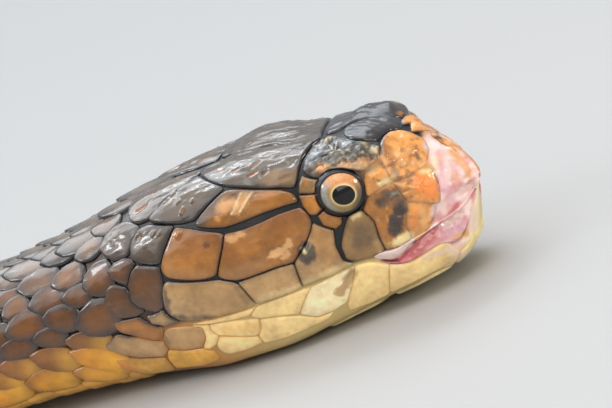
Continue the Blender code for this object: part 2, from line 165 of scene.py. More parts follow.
def layPath():
    s = np.arange(0.0, form["totalLength"] + 1)
    strength = form["waveTurn"] * ease((s - form["straightLength"]) / 300)
    strength = strength * (1 - form["waveFade"] * ease((s - 2300) / 700))
    phase = np.maximum(s - form["straightLength"], 0) * 2 * math.pi / form["waveLength"]
    heading = math.pi + strength * np.sin(phase)
    x = np.concatenate([[0], np.cumsum(np.cos((heading[1:] + heading[:-1]) / 2))])
    y = np.concatenate([[0], np.cumsum(np.sin((heading[1:] + heading[:-1]) / 2))])
    return s, x, y, heading


bodyPath = layPath()


def placeOnPath(points):
    t, right, up = points[..., 0], points[..., 1], points[..., 2]
    x, y, heading = (np.interp(t, bodyPath[0], values) for values in bodyPath[1:])
    ahead = np.minimum(t, 0)
    return np.stack([x - ahead - np.sin(heading) * right, y + np.cos(heading) * right, up], -1) * mm


def planCentre():
    t, girth = np.meshgrid(np.arange(0, form["totalLength"] + 1, 5), np.arange(16), indexing="ij")
    points = placeOnPath(sectionPoint(t, girth)).reshape(-1, 3)
    middle = (points.min(0) + points.max(0)) / 2
    middle[2] = 0
    return middle


centre = planCentre()


def nodeCentre(name):
    low, high = (np.array(corner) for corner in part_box(name))
    return (low + high) / 2


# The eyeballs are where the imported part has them
eyeBalls = {1: nodeCentre("eye_right"), -1: nodeCentre("eye_left")}


def crownShift(t, girth):
    # mm by which the left brow stands higher, and the crown behind it lower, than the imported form
    signed = (girth + 8) % 16 - 8
    brow = 0.9 * np.exp(-((t - 14.5) / 3.0) ** 2) * between(-0.5, -1.2, signed) * between(-3.2, -2.4, signed)
    sag = 0.8 * between(19, 23, t) * between(40, 32, t) + 1.2 * between(42, 50, t) * between(135, 105, t)
    return brow - sag * between(1.0, 0.2, signed) * between(-3.4, -2.6, signed)


def onSkin(t, girth, rise=None):
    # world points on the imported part's surface, or rise mm outside it
    t, girth = np.broadcast_arrays(np.asarray(t, float), np.asarray(girth, float))
    here = placeOnPath(sectionPoint(t, girth)) - centre
    if rise is None:
        return here
    small = 0.02
    along = placeOnPath(sectionPoint(t + small, girth)) - centre - here
    around = placeOnPath(sectionPoint(t, girth + small)) - centre - here
    out = np.cross(along, around)
    out /= np.maximum(np.linalg.norm(out, axis=-1, keepdims=True), 1e-12)
    out = here + out * (np.asarray(rise) + crownShift(t, girth))[..., None] * mm
    out[..., 2] = np.maximum(out[..., 2], 0)
    return out


def girthLength(t, girth):
    # mm for one unit of girth at a place
    a = sectionPoint(t, np.asarray(girth) - 0.1)[..., 1:]
    b = sectionPoint(t, np.asarray(girth) + 0.1)[..., 1:]
    return np.maximum(np.linalg.norm(b - a, axis=-1) / 0.2, 0.05)


def softNoise(points, size, seed=0):
    # smooth value noise from -1 to 1 over points in mm; size is one number or one for each axis
    p = points / np.asarray(size, float) + seed * 17.31
    cell = np.floor(p).astype(np.int64)
    f = p - cell
    f = f * f * (3 - 2 * f)
    total = 0
    for corner in range(8):
        offset = np.array([corner & 1, corner >> 1 & 1, corner >> 2 & 1])
        q = cell + offset
        h = (q[..., 0] * 73856093) ^ (q[..., 1] * 19349663) ^ (q[..., 2] * 83492791)
        h = (h ^ (h >> 13)) * 1274126177 & 0x7fffffff
        h = (h ^ (h >> 15)) * 668265263 & 0x7fffffff
        weight = np.prod(np.where(offset, f, 1 - f), -1)
        total = total + (h / 0x7fffffff * 2 - 1) * weight
    return total


# The camera stands where the photograph's did, in front of the animal's right side
cameraSetup = {
    "azimuth": math.radians(26),
    "elevation": math.radians(15),
    "roll": math.radians(25.5),
    "distance": 0.700,
    "metresPerPixel": 0.000193,
    "eyeFromSnout": (-0.022, -0.0146, 0.027),
    "eyePixel": (340, 192),
    "frame": (612, 408),
}


def cameraAxes():
    turn, rise, roll = cameraSetup["azimuth"], cameraSetup["elevation"], cameraSetup["roll"]
    back = Vector((math.sin(turn) * math.cos(rise), -math.cos(turn) * math.cos(rise), math.sin(rise)))
    level = Vector((math.cos(turn), math.sin(turn), 0))
    up = back.cross(level)
    right = level * math.cos(roll) - up * math.sin(roll)
    top = level * math.sin(roll) + up * math.cos(roll)
    head = Vector(cameraSetup["eyeFromSnout"]) - Vector((centre[0], centre[1], 0))
    k = cameraSetup["metresPerPixel"]
    width, height = cameraSetup["frame"]
    aim = head - right * (cameraSetup["eyePixel"][0] - width / 2) * k
    aim = aim - top * (height / 2 - cameraSetup["eyePixel"][1]) * k
    return right, top, back, aim + back * cameraSetup["distance"]


cameraRight, cameraUp, cameraBack, cameraPlace = cameraAxes()


# Opening of the eye: angles in degrees from the way the eye looks, and heights over the ball in mm
eyeShape = {
    "radius": 5.6, "look": (0.0, -0.155), "opening": 46.2, "flatten": 3.0,
    "pupil": 21.6, "pupilWider": 1.6, "pupilShift": (4.4, -3.2), "ring": 3.2, "iris": 41.5,
    "shieldHeight": 0.18, "around": 160,
}


def eyeAxes(side):
    # the way an eye looks, with its level and upright axes, mirrored for the left eye
    rows = []
    for axis in (cameraBack + cameraRight * eyeShape["look"][0] + cameraUp * eyeShape["look"][1],
                 cameraRight, cameraUp):
        rows.append(Vector((axis.x, axis.y * side, axis.z)))
    forward = rows[0].normalized()
    upright = (rows[2] - forward * rows[2].dot(forward)).normalized()
    level = (rows[1] - forward * rows[1].dot(forward) - upright * rows[1].dot(upright)).normalized()
    return np.array(forward), np.array(level), np.array(upright)


def overEye(points, height):
    # lifts points that would lie inside an eyeball, so that skin and shields bulge over its rim
    out = points
    for side, ball in eyeBalls.items():
        forward = eyeAxes(side)[0]
        away = out - ball
        reach = np.linalg.norm(away, axis=-1) / mm
        angle = np.degrees(np.arccos(np.clip(away @ forward / np.maximum(reach * mm, 1e-9), -1, 1)))
        wanted = eyeShape["radius"] + eyeShape["shieldHeight"] + height
        wanted = wanted * between(100, 62, angle)
        soft = 0.8
        mixture = np.clip(0.5 + 0.5 * (wanted - reach) / soft, 0, 1)
        lifted = reach + (wanted - reach) * mixture + soft * mixture * (1 - mixture)
        lifted = np.where(reach > 12, reach, np.maximum(lifted, reach))
        out = ball + away * (lifted / np.maximum(reach, 1e-6))[..., None]
    return out


def makeCamera():
    data = bpy.data.cameras.new("photoCamera")
    camera = bpy.data.objects.new("photoCamera", data)
    bpy.context.scene.collection.objects.link(camera)
    turn = Matrix((cameraRight, cameraUp, cameraBack)).transposed()
    camera.matrix_world = Matrix.Translation(cameraPlace) @ turn.to_4x4()
    data.sensor_width = 36
    data.lens = 36 * cameraSetup["distance"] / (cameraSetup["frame"][0] * cameraSetup["metresPerPixel"])
    data.clip_start = 0.01
    bpy.context.scene.camera = camera


def toPixels(points):
    away = points - np.array(cameraPlace)
    depth = -(away @ np.array(cameraBack))
    scale = cameraSetup["distance"] / cameraSetup["metresPerPixel"] / depth
    width, height = cameraSetup["frame"]
    x = width / 2 + away @ np.array(cameraRight) * scale
    return np.stack([x, height / 2 - away @ np.array(cameraUp) * scale], -1)


# A net over the visible side of head and neck, to find the place on the skin under a pixel
netT, netG = np.meshgrid(np.linspace(math.sqrt(0.3), math.sqrt(150), 420) ** 2, np.linspace(-5, 8.2, 520),
                         indexing="ij")
netPoints = onSkin(netT, netG)
netPixels = toPixels(netPoints)
netSide = np.cross(np.gradient(netPoints, axis=0), np.gradient(netPoints, axis=1)) @ np.array(cameraBack)


def fromPhoto(pixels):
    # (t, girth) under each photo pixel, on the side that faces the camera
    found = []
    for pixel in pixels:
        away = np.hypot(netPixels[..., 0] - pixel[0], netPixels[..., 1] - pixel[1]) + (netSide <= 0) * 1e3
        i, j = np.unravel_index(away.argmin(), away.shape)
        place = np.array([netT[i, j], netG[i, j]])
        steps = np.array([[0, 0], [0.05, 0], [0, 0.02]])
        seen = toPixels(onSkin(place[0] + steps[:, 0], place[1] + steps[:, 1]))
        slope = np.stack([(seen[1] - seen[0]) / 0.05, (seen[2] - seen[0]) / 0.02], 1)
        if abs(np.linalg.det(slope)) > 1:
            move = np.linalg.solve(slope, np.array(pixel) - seen[0])
            place = place + np.clip(move, (-0.4, -0.04), (0.4, 0.04))
        found.append(place)
    return np.array(found)


# Colours of the animal, as they look in soft daylight, with some painted highlights, sheen and shade
palette = {
    "seam": (16, 19, 26), "snoutSeam": (112, 80, 58), "jawSeam": (214, 188, 128),
    "throatSeam": (204, 142, 72), "brown": (158, 102, 42), "tan": (184, 144, 94),
    "olive": (150, 114, 66), "taupe": (84, 72, 61), "slate": (58, 54, 54),
    "orange": (226, 154, 80), "hotOrange": (242, 136, 60), "amber": (178, 114, 42),
    "cream": (246, 222, 162), "paleCream": (252, 228, 180), "yellow": (250, 214, 148),
    # the dark blotch colour here serves for dark spots of the skin, and also for painted shade along the
    # edges of supralabial 7
    "gold": (238, 160, 36), "sun": (252, 190, 62), "blotch": (52, 44, 44),
    # the pale blue here is a painted highlight: the sky's bluish-white reflection on wet shields
    "grey": (98, 92, 84), "paleBlue": (196, 206, 218), "rust": (138, 82, 42),
    "peach": (222, 168, 112), "pink": (222, 160, 158), "palePink": (236, 208, 202),
    "mauve": (216, 166, 176), "rose": (198, 104, 108), "deepRose": (120, 44, 48),
    "throat": (222, 164, 66), "scaleBrown": (106, 66, 27), "scaleTop": (94, 78, 62),
    # the dark edge colour here darkens the scales' rims, partly their own colour, partly painted shade
    # the light colour here is a painted sheen: the sky's reflection on the top scales behind the head
    "scaleEdgeAndShade": (54, 52, 54), "scaleDark": (64, 54, 46), "paintedTopSheen": (140, 128, 114),
    "belly": (226, 208, 160), "bandPale": (178, 160, 120), "tailDark": (50, 46, 42),
    "bellyGrey": (150, 142, 124), "irisLow": (150, 128, 82), "irisHigh": (214, 150, 98),
    # the last colour here is painted shade at the iris's lower rim
    "irisSilver": (150, 154, 160), "irisShadow": (78, 70, 62), "irisRimShade": (104, 88, 56),
    "pupilRing": (236, 204, 146), "pupil": (5, 5, 7), "eyeEdge": (10, 11, 14),
}


def shade(name):
    value = np.array(palette[name]) / 255
    return np.where(value <= 0.04045, value / 12.92, ((value + 0.055) / 1.055) ** 2.4)


def mixed(a, b, part):
    part = np.asarray(part)[..., None]
    return a * (1 - part) + b * part


def mirrored(points):
    out = np.array(points, float)
    out[..., 1] = -(out[..., 1] + centre[1]) - centre[1]
    return out


# Strokes of colour, some of them painted highlights and painted shade: name, ends in photo pixels, half-width
# and soft edge in pixels, strength.
# Those of headMarks are on both sides of the head.
headMarks = [
    ("peach", (269, 256), (278, 251), 2.4, 1.6, 0.9), ("peach", (275, 256), (290, 243), 2.8, 1.6, 0.9),
    ("peach", (283, 258), (288, 252), 2.2, 1.6, 0.8), ("peach", (230, 240), (243, 234), 3, 2, 0.8),
    ("rust", (262, 222), (300, 214), 5, 7, 0.4), ("rust", (228, 250), (240, 268), 5, 8, 0.4),
    ("tan", (228, 274), (262, 268), 6, 8, 0.25), ("tan", (170, 272), (204, 276), 5, 7, 0.25),
    ("blotch", (206.5, 245), (208, 244.5), 1.6, 1.6, 0.8), ("rust", (190, 240), (214, 240), 7, 8, 0.4),
    ("taupe", (199, 223), (212, 206), 7, 7, 0.8), ("taupe", (214, 198), (250, 192), 4, 6, 0.6),
    ("peach", (222, 209), (229, 203), 5.0, 4, 0.5), ("peach", (246, 196), (237, 212), 3.4, 3, 0.6),
    # these two pale strokes outline a flake on the upper temporal: partly its own pale edges, partly a
    # painted highlight on its raised ridges
    ("cream", (241.7, 194), (233, 215), 0.5, 1.8, 0.45), ("cream", (252, 194), (241, 212), 0.5, 1.8, 0.5),
    ("orange", (218, 219), (219, 219.5), 2, 1.5, 0.8), ("amber", (262, 205), (290, 198), 5, 7, 0.6),
    # these two dark strokes are painted shade along the rear and lower edges of supralabial 7
    ("blotch", (166, 292), (169, 310), 3, 4, 0.75), ("blotch", (172, 316), (214, 317), 2, 4, 0.75),
    ("blotch", (236, 288), (248, 302), 1.5, 3, 0.5), ("olive", (200, 296), (236, 298), 8, 10, 0.4),
    ("cream", (262, 300), (300, 287), 2.5, 5, 0.55), ("cream", (306, 283), (350, 264), 2.5, 5, 0.5),
    ("amber", (320, 238), (330, 250), 9, 9, 0.4), ("blotch", (307, 250.5), (307, 254), 9, 2, 0.7),
    # the cream stroke here is a painted highlight on top of the tubercle
    ("taupe", (307, 250.5), (307, 254), 6.5, 2, 0.95), ("cream", (303, 249), (305, 251), 1.4, 2, 0.8),
    ("blotch", (360, 232), (363, 240), 8, 8, 0.45),
    ("cream", (352, 215), (358, 213), 2.5, 3, 0.7), ("cream", (380, 252), (384, 254), 2, 2, 0.5),
    ("amber", (370, 208), (376, 212), 6, 6, 0.6), ("tan", (381, 243), (385, 246), 5, 4, 0.6),
    ("taupe", (384, 199), (402, 204), 7, 4, 0.6), ("peach", (421, 210), (424, 226), 3, 3, 0.6),
    ("blotch", (399, 212), (395, 230), 6.5, 3, 0.95), ("blotch", (380, 203), (398, 191), 3, 4, 0.65),
    ("blotch", (402, 203), (403, 212), 2.2, 3, 0.7), ("grey", (388, 192), (396, 196), 1.6, 2, 0.6),
    ("cream", (396, 243), (408, 236), 4.6, 2.5, 0.95), ("palePink", (433, 214), (436, 207), 3, 4, 0.8),
    ("hotOrange", (420, 182), (431, 190), 8, 6, 0.8), ("hotOrange", (415, 212), (414, 228), 3, 4, 0.5),
    ("cream", (422, 171), (430, 170), 2, 3, 0.6), ("rose", (437, 180), (438, 190), 1.4, 2, 0.6),
    ("blotch", (417, 155), (419, 159), 1.6, 2.5, 0.75), ("rust", (409, 160), (414, 152), 4, 5, 0.3),
    ("blotch", (394, 171), (400, 178), 1.6, 2.5, 0.6), ("blotch", (380, 140), (382, 152), 2, 4, 0.75),
    ("blotch", (377, 160), (384, 167), 1.4, 2.5, 0.7), ("rust", (386, 148), (391, 162), 3, 5, 0.45),
    ("palePink", (427, 146), (433, 157), 3.5, 3, 0.8), ("tan", (388, 180), (393, 177), 2.5, 3, 0.7),
    ("tan", (372, 158), (380, 150), 3, 4, 0.6), ("blotch", (377.8, 181), (378.4, 181.4), 0.9, 1, 0.95),
    ("tan", (316, 170), (374, 167), 4, 4, 0.7), ("palePink", (385, 265.5), (400, 265.5), 1.2, 1.5, 0.6),
    ("palePink", (425, 258), (450, 248), 2, 3, 0.6), ("palePink", (452, 249), (462, 256), 4, 5, 0.7),
    ("cream", (380, 184), (388, 180), 2.4, 2.2, 0.8), ("orange", (321, 167), (325, 168), 4, 3, 0.85),
    ("peach", (343, 165), (361, 162), 4.4, 3, 0.6), ("amber", (364, 157), (373, 162), 3, 3, 0.6),
    # the pale blue stroke here is a painted highlight on the right brow shield
    ("blotch", (357, 152), (363, 153), 2.6, 2.6, 0.85), ("paleBlue", (345, 144), (352, 141), 2.5, 3, 0.5),
    ("amber", (386, 135), (388, 134), 2, 2, 0.8), ("slate", (318, 158), (332, 146), 2.5, 3, 0.8),
    ("slate", (330, 152), (348, 149), 1.8, 3, 0.75), ("blotch", (308, 168), (322, 176), 2, 3, 0.5),
    # the pale blue stroke here is a painted highlight on the right brow shield
    ("paleBlue", (309, 163), (322, 149), 2, 2.5, 0.5), ("cream", (368, 145), (372, 150), 3, 3, 0.55),
    ("amber", (305, 180), (307, 181), 2.2, 2, 0.8), ("olive", (270, 180), (293, 178), 7, 8, 0.6),
    ("rust", (219, 171), (223, 171), 2, 1.6, 0.8), ("rust", (234, 172), (239, 170), 2, 1.6, 0.8),
    ("rust", (253, 168), (259, 164), 1.8, 1.6, 0.8), ("rust", (250, 176), (257, 172), 1.6, 1.6, 0.8),
    ("rust", (138, 213), (145, 207), 2.4, 1.6, 0.95), ("rust", (149, 192), (155, 189), 2.2, 1.6, 0.8),
    ("rust", (139, 239), (141, 236), 1.6, 1.6, 0.8), ("rust", (182, 214), (184, 211), 1.6, 1.6, 0.7),
    ("tan", (340, 292), (353, 272), 4, 3, 0.85), ("blotch", (343, 280), (351, 270), 1.4, 3, 0.4),
    ("blotch", (164, 336), (168, 346), 3, 4, 0.5), ("amber", (150, 330), (160, 335), 4, 4, 0.6),
    ("gold", (226, 330), (256, 326), 3, 6, 0.3), ("hotOrange", (120, 362), (132, 366), 4, 4, 0.7),
]
leftMarks = [
    # the pale blue stroke here is a painted highlight on the crown's shields
    ("paleBlue", (401, 121), (403, 124), 2, 2, 0.8), ("orange", (417, 124), (437, 134), 4, 3, 0.95),
    ("blotch", (418, 136), (440, 138), 1.4, 2, 0.8), ("blotch", (434, 130), (440, 138), 1.2, 2, 0.7),
    ("blotch", (467, 163), (469, 166), 2.2, 2.4, 0.8), ("peach", (456, 158), (472, 176), 6, 4, 0.8),
    ("rust", (448, 152), (462, 158), 1.6, 2, 0.8), ("rust", (462, 158), (472, 170), 1.6, 2, 0.8),
    ("palePink", (460, 168), (466, 178), 3, 3, 0.8),
]
# the healed snout and the mouth, on the right side
mouthMarks = [
    ("palePink", (446, 148), (447, 178), 5, 5, 0.8), ("palePink", (430, 145), (437, 172), 3, 4, 0.8),
    ("cream", (434, 158), (438, 170), 1.6, 3, 0.5), ("mauve", (443, 166), (444, 192), 3, 5, 0.6),
    ("peach", (455, 152), (470, 172), 6, 4, 0.75), ("orange", (452, 150), (472, 168), 1.6, 2, 0.6),
    ("palePink", (460, 168), (464, 178), 2.4, 3, 0.7),
    ("mauve", (446, 190), (454, 204), 5, 6, 0.7), ("palePink", (440, 196), (444, 212), 3, 4, 0.8),
    ("rose", (439, 223), (449, 218), 1.6, 2, 0.95), ("rose", (449, 218), (457, 206), 2.2, 2.5, 0.9),
    ("rose", (457, 206), (464, 200), 1.8, 2, 0.85), ("palePink", (463, 192), (472, 214), 5, 5, 0.8),
    ("mauve", (440, 231), (464, 227), 5, 5, 0.7), ("peach", (457, 236), (468, 234), 2.6, 2.5, 0.85),
    ("rose", (402, 261), (418, 251), 5, 3, 0.9), ("rose", (418, 250), (435, 233), 4, 4, 0.8),
    # these thin deep rose lines along the mouth's slit are partly its own colour, partly painted shade in the
    # gap
    ("deepRose", (372, 260.5), (386, 261.8), 0.7, 1.2, 0.8),
    ("deepRose", (386, 262), (400, 262.4), 0.8, 1.2, 0.8),
    ("palePink", (378, 259), (398, 256), 2.8, 2, 0.9), ("palePink", (398, 256), (410, 246), 3.2, 2, 0.95),
    ("palePink", (411, 243), (437, 224), 1.8, 2, 0.7), ("palePink", (446, 247), (462, 243), 3.6, 4, 0.7),
    ("palePink", (448, 224), (466, 210), 5, 4, 0.8), ("mauve", (452, 232), (466, 224), 4, 4, 0.6),
    ("palePink", (470, 205), (475, 236), 4, 4, 0.7), ("peach", (457, 237), (468, 234), 2.4, 2.5, 0.8),
    ("peach", (452, 256), (464, 250), 2.4, 3, 0.5),
]


def placeMarks(marks):
    return [mark + tuple(onSkin(*fromPhoto(mark[1:3]).T)) for mark in marks]


headMarks, leftMarks, mouthMarks = placeMarks(headMarks), placeMarks(leftMarks), placeMarks(mouthMarks)


def lineDistance(points, a, b):
    # distance from each point to the straight stretch between a and b
    along = b - a
    f = np.clip((points - a) @ along / max(along @ along, 1e-12), 0, 1)
    return np.linalg.norm(points - a - f[..., None] * along, axis=-1)


def paint(points, tint, marks, ragged=0.6):
    # lays strokes of colour over a base colour, with ragged edges
    k = cameraSetup["metresPerPixel"]
    rough = softNoise(points / mm, 1.2, 4) * 0.8 + softNoise(points / mm, 0.45, 5) * 0.5
    for name, _, _, size, soft, strength, a, b in marks:
        away = lineDistance(points, a, b) / k + ragged * rough * min(size, 3)
        tint = mixed(tint, shade(name), strength * between(size + soft, size - soft / 2, away))
    return tint


def paintHead(points, right, tint):
    twin = np.where(np.asarray(right)[..., None], points, mirrored(points))
    tint = paint(twin, tint, headMarks, 1.1)
    return np.where(np.asarray(right)[..., None], tint, paint(points, tint, leftMarks, 1.1))


def sideGirth(girth):
    return np.abs((np.asarray(girth, float) + 8) % 16 - 8)


def snoutPart(t, girth):
    # the front of the face, where the shields' seams are soft and brown
    side = sideGirth(girth)
    top = np.interp(t, (6.5, 9, 15), (-0.6, 0.6, 2.1))
    return between(18.6, 16.4, t) * between(0, 0.5, side - top) * between(5.4, 5.0, side)


def jawPart(t, girth):
    side = sideGirth(girth)
    return between(4.86, 5.02, side) * between(112, 70, t)


def seamTint(t, girth):
    # colour and depth of colour of the seams between shields
    jaw, snout = jawPart(t, girth), snoutPart(t, girth)
    colour = mixed(shade("seam"), shade("snoutSeam"), snout)
    low = mixed(shade("jawSeam"), shade("throatSeam"), between(40, 66, t))
    return mixed(colour, low, jaw), 1 - 0.5 * snout - 0.45 * jaw


# Shields of the head's right side as outlines in photo pixels, traced along the middle of the seams,
# with a colour; each has a twin on the left
sideShields = {
    "supralabial1": ("orange", [(407, 203), (420, 202.5), (436, 205), (434.5, 216), (428.5, 230),
                                (416.5, 240.5), (412.3, 239), (406.2, 223)]),
    "supralabial23": ("amber", [(366.6, 198.5), (379.4, 189.4), (391, 186), (400, 193), (407, 203),
                                (406.2, 223), (412.3, 239.5), (402, 245), (389.8, 250), (386, 250.8),
                                (379.4, 238), (374.3, 221.5), (362, 210)]),
    "supralabial4": ("olive", [(349, 212.5), (356, 210.5), (362, 210), (374.3, 221.5), (379.4, 238),
                               (386, 250.8), (371.7, 258.3), (356.4, 261.5), (346, 260), (340.6, 246),
                               (343, 233), (345, 224)]),
    "supralabial5": ("tan", [(312, 222.6), (323.5, 227), (334, 230), (335.6, 246), (343.5, 261),
                             (355, 263.5), (345, 268.5), (330, 276.5), (303, 287), (298, 275), (294, 263.5),
                             (301, 251), (307, 241), (311, 230)]),
    "supralabial6": ("tan", [(237, 283.2), (246, 279.5), (262, 274), (277, 268), (294, 263.5), (298, 275),
                             (303, 287), (290, 293.5), (270, 300.5), (257, 305), (250.5, 298),
                             (243.4, 289.5)]),
    "supralabial7": ("tan", [(164.5, 281.8), (183, 282.8), (204, 281.8), (217, 280), (226.6, 281.4),
                             (237, 283.2), (243.4, 289.5), (250.5, 298), (257, 305), (246, 309.2),
                             (232, 313.4), (218, 317.6), (204, 320.2), (190, 322), (178.9, 320.5),
                             (169, 315.5), (164, 307), (162, 297), (162, 288)]),
    "lowerTemporal": ("brown", [(224, 233.5), (231, 232.5), (243, 229.5), (261, 222), (279, 213.5),
                                (297, 207.5), (302, 207.5), (309, 215), (312, 222), (311, 230), (307, 241),
                                (301, 251), (294, 263), (277, 267.5), (261, 273.5), (246.5, 279),
                                (236.5, 281), (226, 280.5), (217, 277), (219, 265), (222.5, 247.5)]),
    "rearTemporal": ("brown", [(176, 226.4), (193, 229.2), (204.2, 230.9), (218, 232.5), (223.5, 234),
                               (221.5, 250), (218.4, 264.3), (216.4, 276.5), (204.2, 280), (190.1, 281),
                               (176.1, 280), (166.3, 278), (160.7, 271.3), (160.7, 262.9), (163.5, 253.1),
                               (169.1, 239), (172.6, 230.6)]),
    "upperTemporal": ("brown", [(194, 225), (198.6, 216.6), (207, 206.8), (218.2, 195.6), (226.6, 189.6),
                                (239.2, 189), (253.3, 189.6), (267.3, 189.8), (281.3, 189.4), (292.5, 192.8),
                                (298.4, 199.8), (297, 203), (288.3, 205), (274.3, 209.5), (260.3, 214.5),
                                (246.2, 220.5), (232.2, 225.5), (223.8, 228), (209.8, 228.5),
                                (197.1, 227.4)]),
    "parietal": ("taupe", [(322, 134.8), (310, 145.5), (301.2, 159), (298.3, 170.3), (295.8, 184.3),
                           (293.5, 188.5), (281, 187.9), (267.3, 188.3), (253.3, 188.3), (239.2, 187.4),
                           (226.6, 186.4), (216, 183.6), (206.5, 179.6), (198.6, 173.4), (204.2, 166.5),
                           (213, 158.5), (224.9, 153.2), (245.9, 149.5), (268.4, 146.2), (296.4, 139.4),
                           (312, 136.2)]),
    "frontal": ("slate", [(342.3, 130.7), (345.5, 135), (351.3, 138.6), (364.6, 139.8), (375.5, 141.2),
                          (379.5, 137.5), (383.8, 133), (389.5, 129), (399, 128.8), (402.5, 125),
                          (402, 118.5), (387.6, 116), (375.5, 116.9), (364, 118.8), (351.9, 123),
                          (345.5, 126.2)]),
    "supraocular": ("grey", [(381.5, 142.2), (378.5, 158.8), (371, 166), (365, 170), (354, 171.5),
                             (344, 171.5), (332, 173), (322, 178.5), (312, 178), (302, 172), (304.1, 162.6),
                             (310.5, 149.8), (321, 139.6), (333.5, 134.7), (343.7, 137.4), (356.4, 140.6),
                             (371.7, 141)]),
    "preocular": ("orange", [(366, 174), (376, 166.4), (384.8, 167.5), (391, 181.7), (379.4, 189.4),
                             (368.5, 197), (365, 193.2), (364.2, 181.7)]),
    "postocularUpper": ("olive", [(301.2, 175.5), (312, 178.6), (320, 179.4), (318.6, 184.3), (318.2, 190.5),
                                  (318.6, 193), (310.5, 194), (298.2, 194), (298.4, 184.3)]),
    "postocularMiddle": ("amber", [(298.4, 195.4), (310, 194.6), (317.4, 193.8), (319.4, 200), (324, 207.6),
                                   (316.4, 215.4), (309.5, 215.4), (302.4, 206.4)]),
    "postocularLower": ("amber", [(317.4, 216.4), (324.8, 209.6), (332, 212.6), (342, 214.4), (342.4, 223.8),
                                  (336, 229.8), (323.3, 226.2)]),
    "prefrontal": ("orange", [(380.5, 141), (384.5, 134.5), (390, 130.5), (399.8, 129.6), (406, 130.5),
                              (414, 133.5), (424, 138.5), (429, 148), (427, 161.3), (420, 169.5),
                              (410, 176.6), (399.8, 180.5), (391.5, 181.7), (385.5, 167.7), (380, 158.8),
                              (380.5, 149)]),
    "nasal": ("orange", [(392, 182.5), (401.1, 181), (410, 177), (418.5, 169.6), (431, 167), (437.6, 177.9),
                         (440, 189.4), (440.4, 202.6), (431.7, 204.2), (418.9, 202.8), (407.4, 202),
                         (399, 192)]),
}
# Shields in the middle, which have no twin, and colours that differ on the left
middleShields = ("frontal",)
leftColours = {"supraocular": "slate"}
jawShields = {
    "infralabial1": ("yellow", [(389.2, 266), (400, 265.6), (414, 262), (430, 251), (440, 245), (447, 242),
                                (455, 247.5), (462, 252), (455, 260.5), (448, 265.5), (420, 279.5),
                                (390.4, 294), (389.5, 283)]),
    "infralabial2": ("yellow", [(354.6, 266), (370, 262), (380, 263.6), (389.2, 266), (389.5, 283),
                                (390.4, 294), (372, 303), (349, 312), (348, 302), (353, 283)]),
    "infralabial3": ("paleCream", [(311, 287.5), (330, 278), (345, 270.5), (354.6, 266), (353, 283),
                                   (348, 302), (335, 311), (318, 317.5), (299.5, 315), (305, 300)]),
    "infralabial4": ("yellow", [(257, 306.5), (280, 298.4), (303, 289.4), (311, 287.5), (305, 300),
                                (299.5, 315), (280, 316.5), (259, 319.5), (249.6, 316.6)]),
    "infralabial5": ("yellow", [(190, 325.6), (204, 321.6), (218, 318.8), (232, 315), (246, 310.6),
                                (257, 306.5), (249.6, 316.6), (230, 321.4), (209, 325)]),
    "chinSide1": ("yellow", [(209, 325.4), (230, 321.8), (258.5, 319.5), (261, 328), (258, 336.5),
                             (240, 337), (219, 336.4), (211, 331.5)]),
    "chinSide2": ("yellow", [(219, 337), (240, 337.4), (258, 337), (263, 343.6), (250, 349.5), (231, 355),
                             (222, 353), (216.4, 346)]),
    "chinSide3": ("yellow", [(259.4, 320), (280, 317), (299.5, 315.6), (318, 318), (334, 312), (330, 319),
                             (305, 331), (285, 339), (265, 344.4), (258.4, 336.5), (261.4, 328)]),
    "chinSide4": ("yellow", [(190.5, 326.4), (208.6, 325.6), (211, 331.5), (219, 336.6), (216, 346),
                             (210, 350), (203, 349), (206, 338), (202, 328.6)]),
    "chinSide5": ("tan", [(163.5, 332), (170, 328.5), (190, 327.3), (202, 328.6), (206, 338), (202, 347.8),
                          (185, 351), (169, 349.6), (163, 341)]),
    "chinSide6": ("throat", [(167, 351.4), (185, 352), (203, 349.4), (214, 352), (221, 360), (205, 366),
                             (176, 369), (168, 360)]),
}
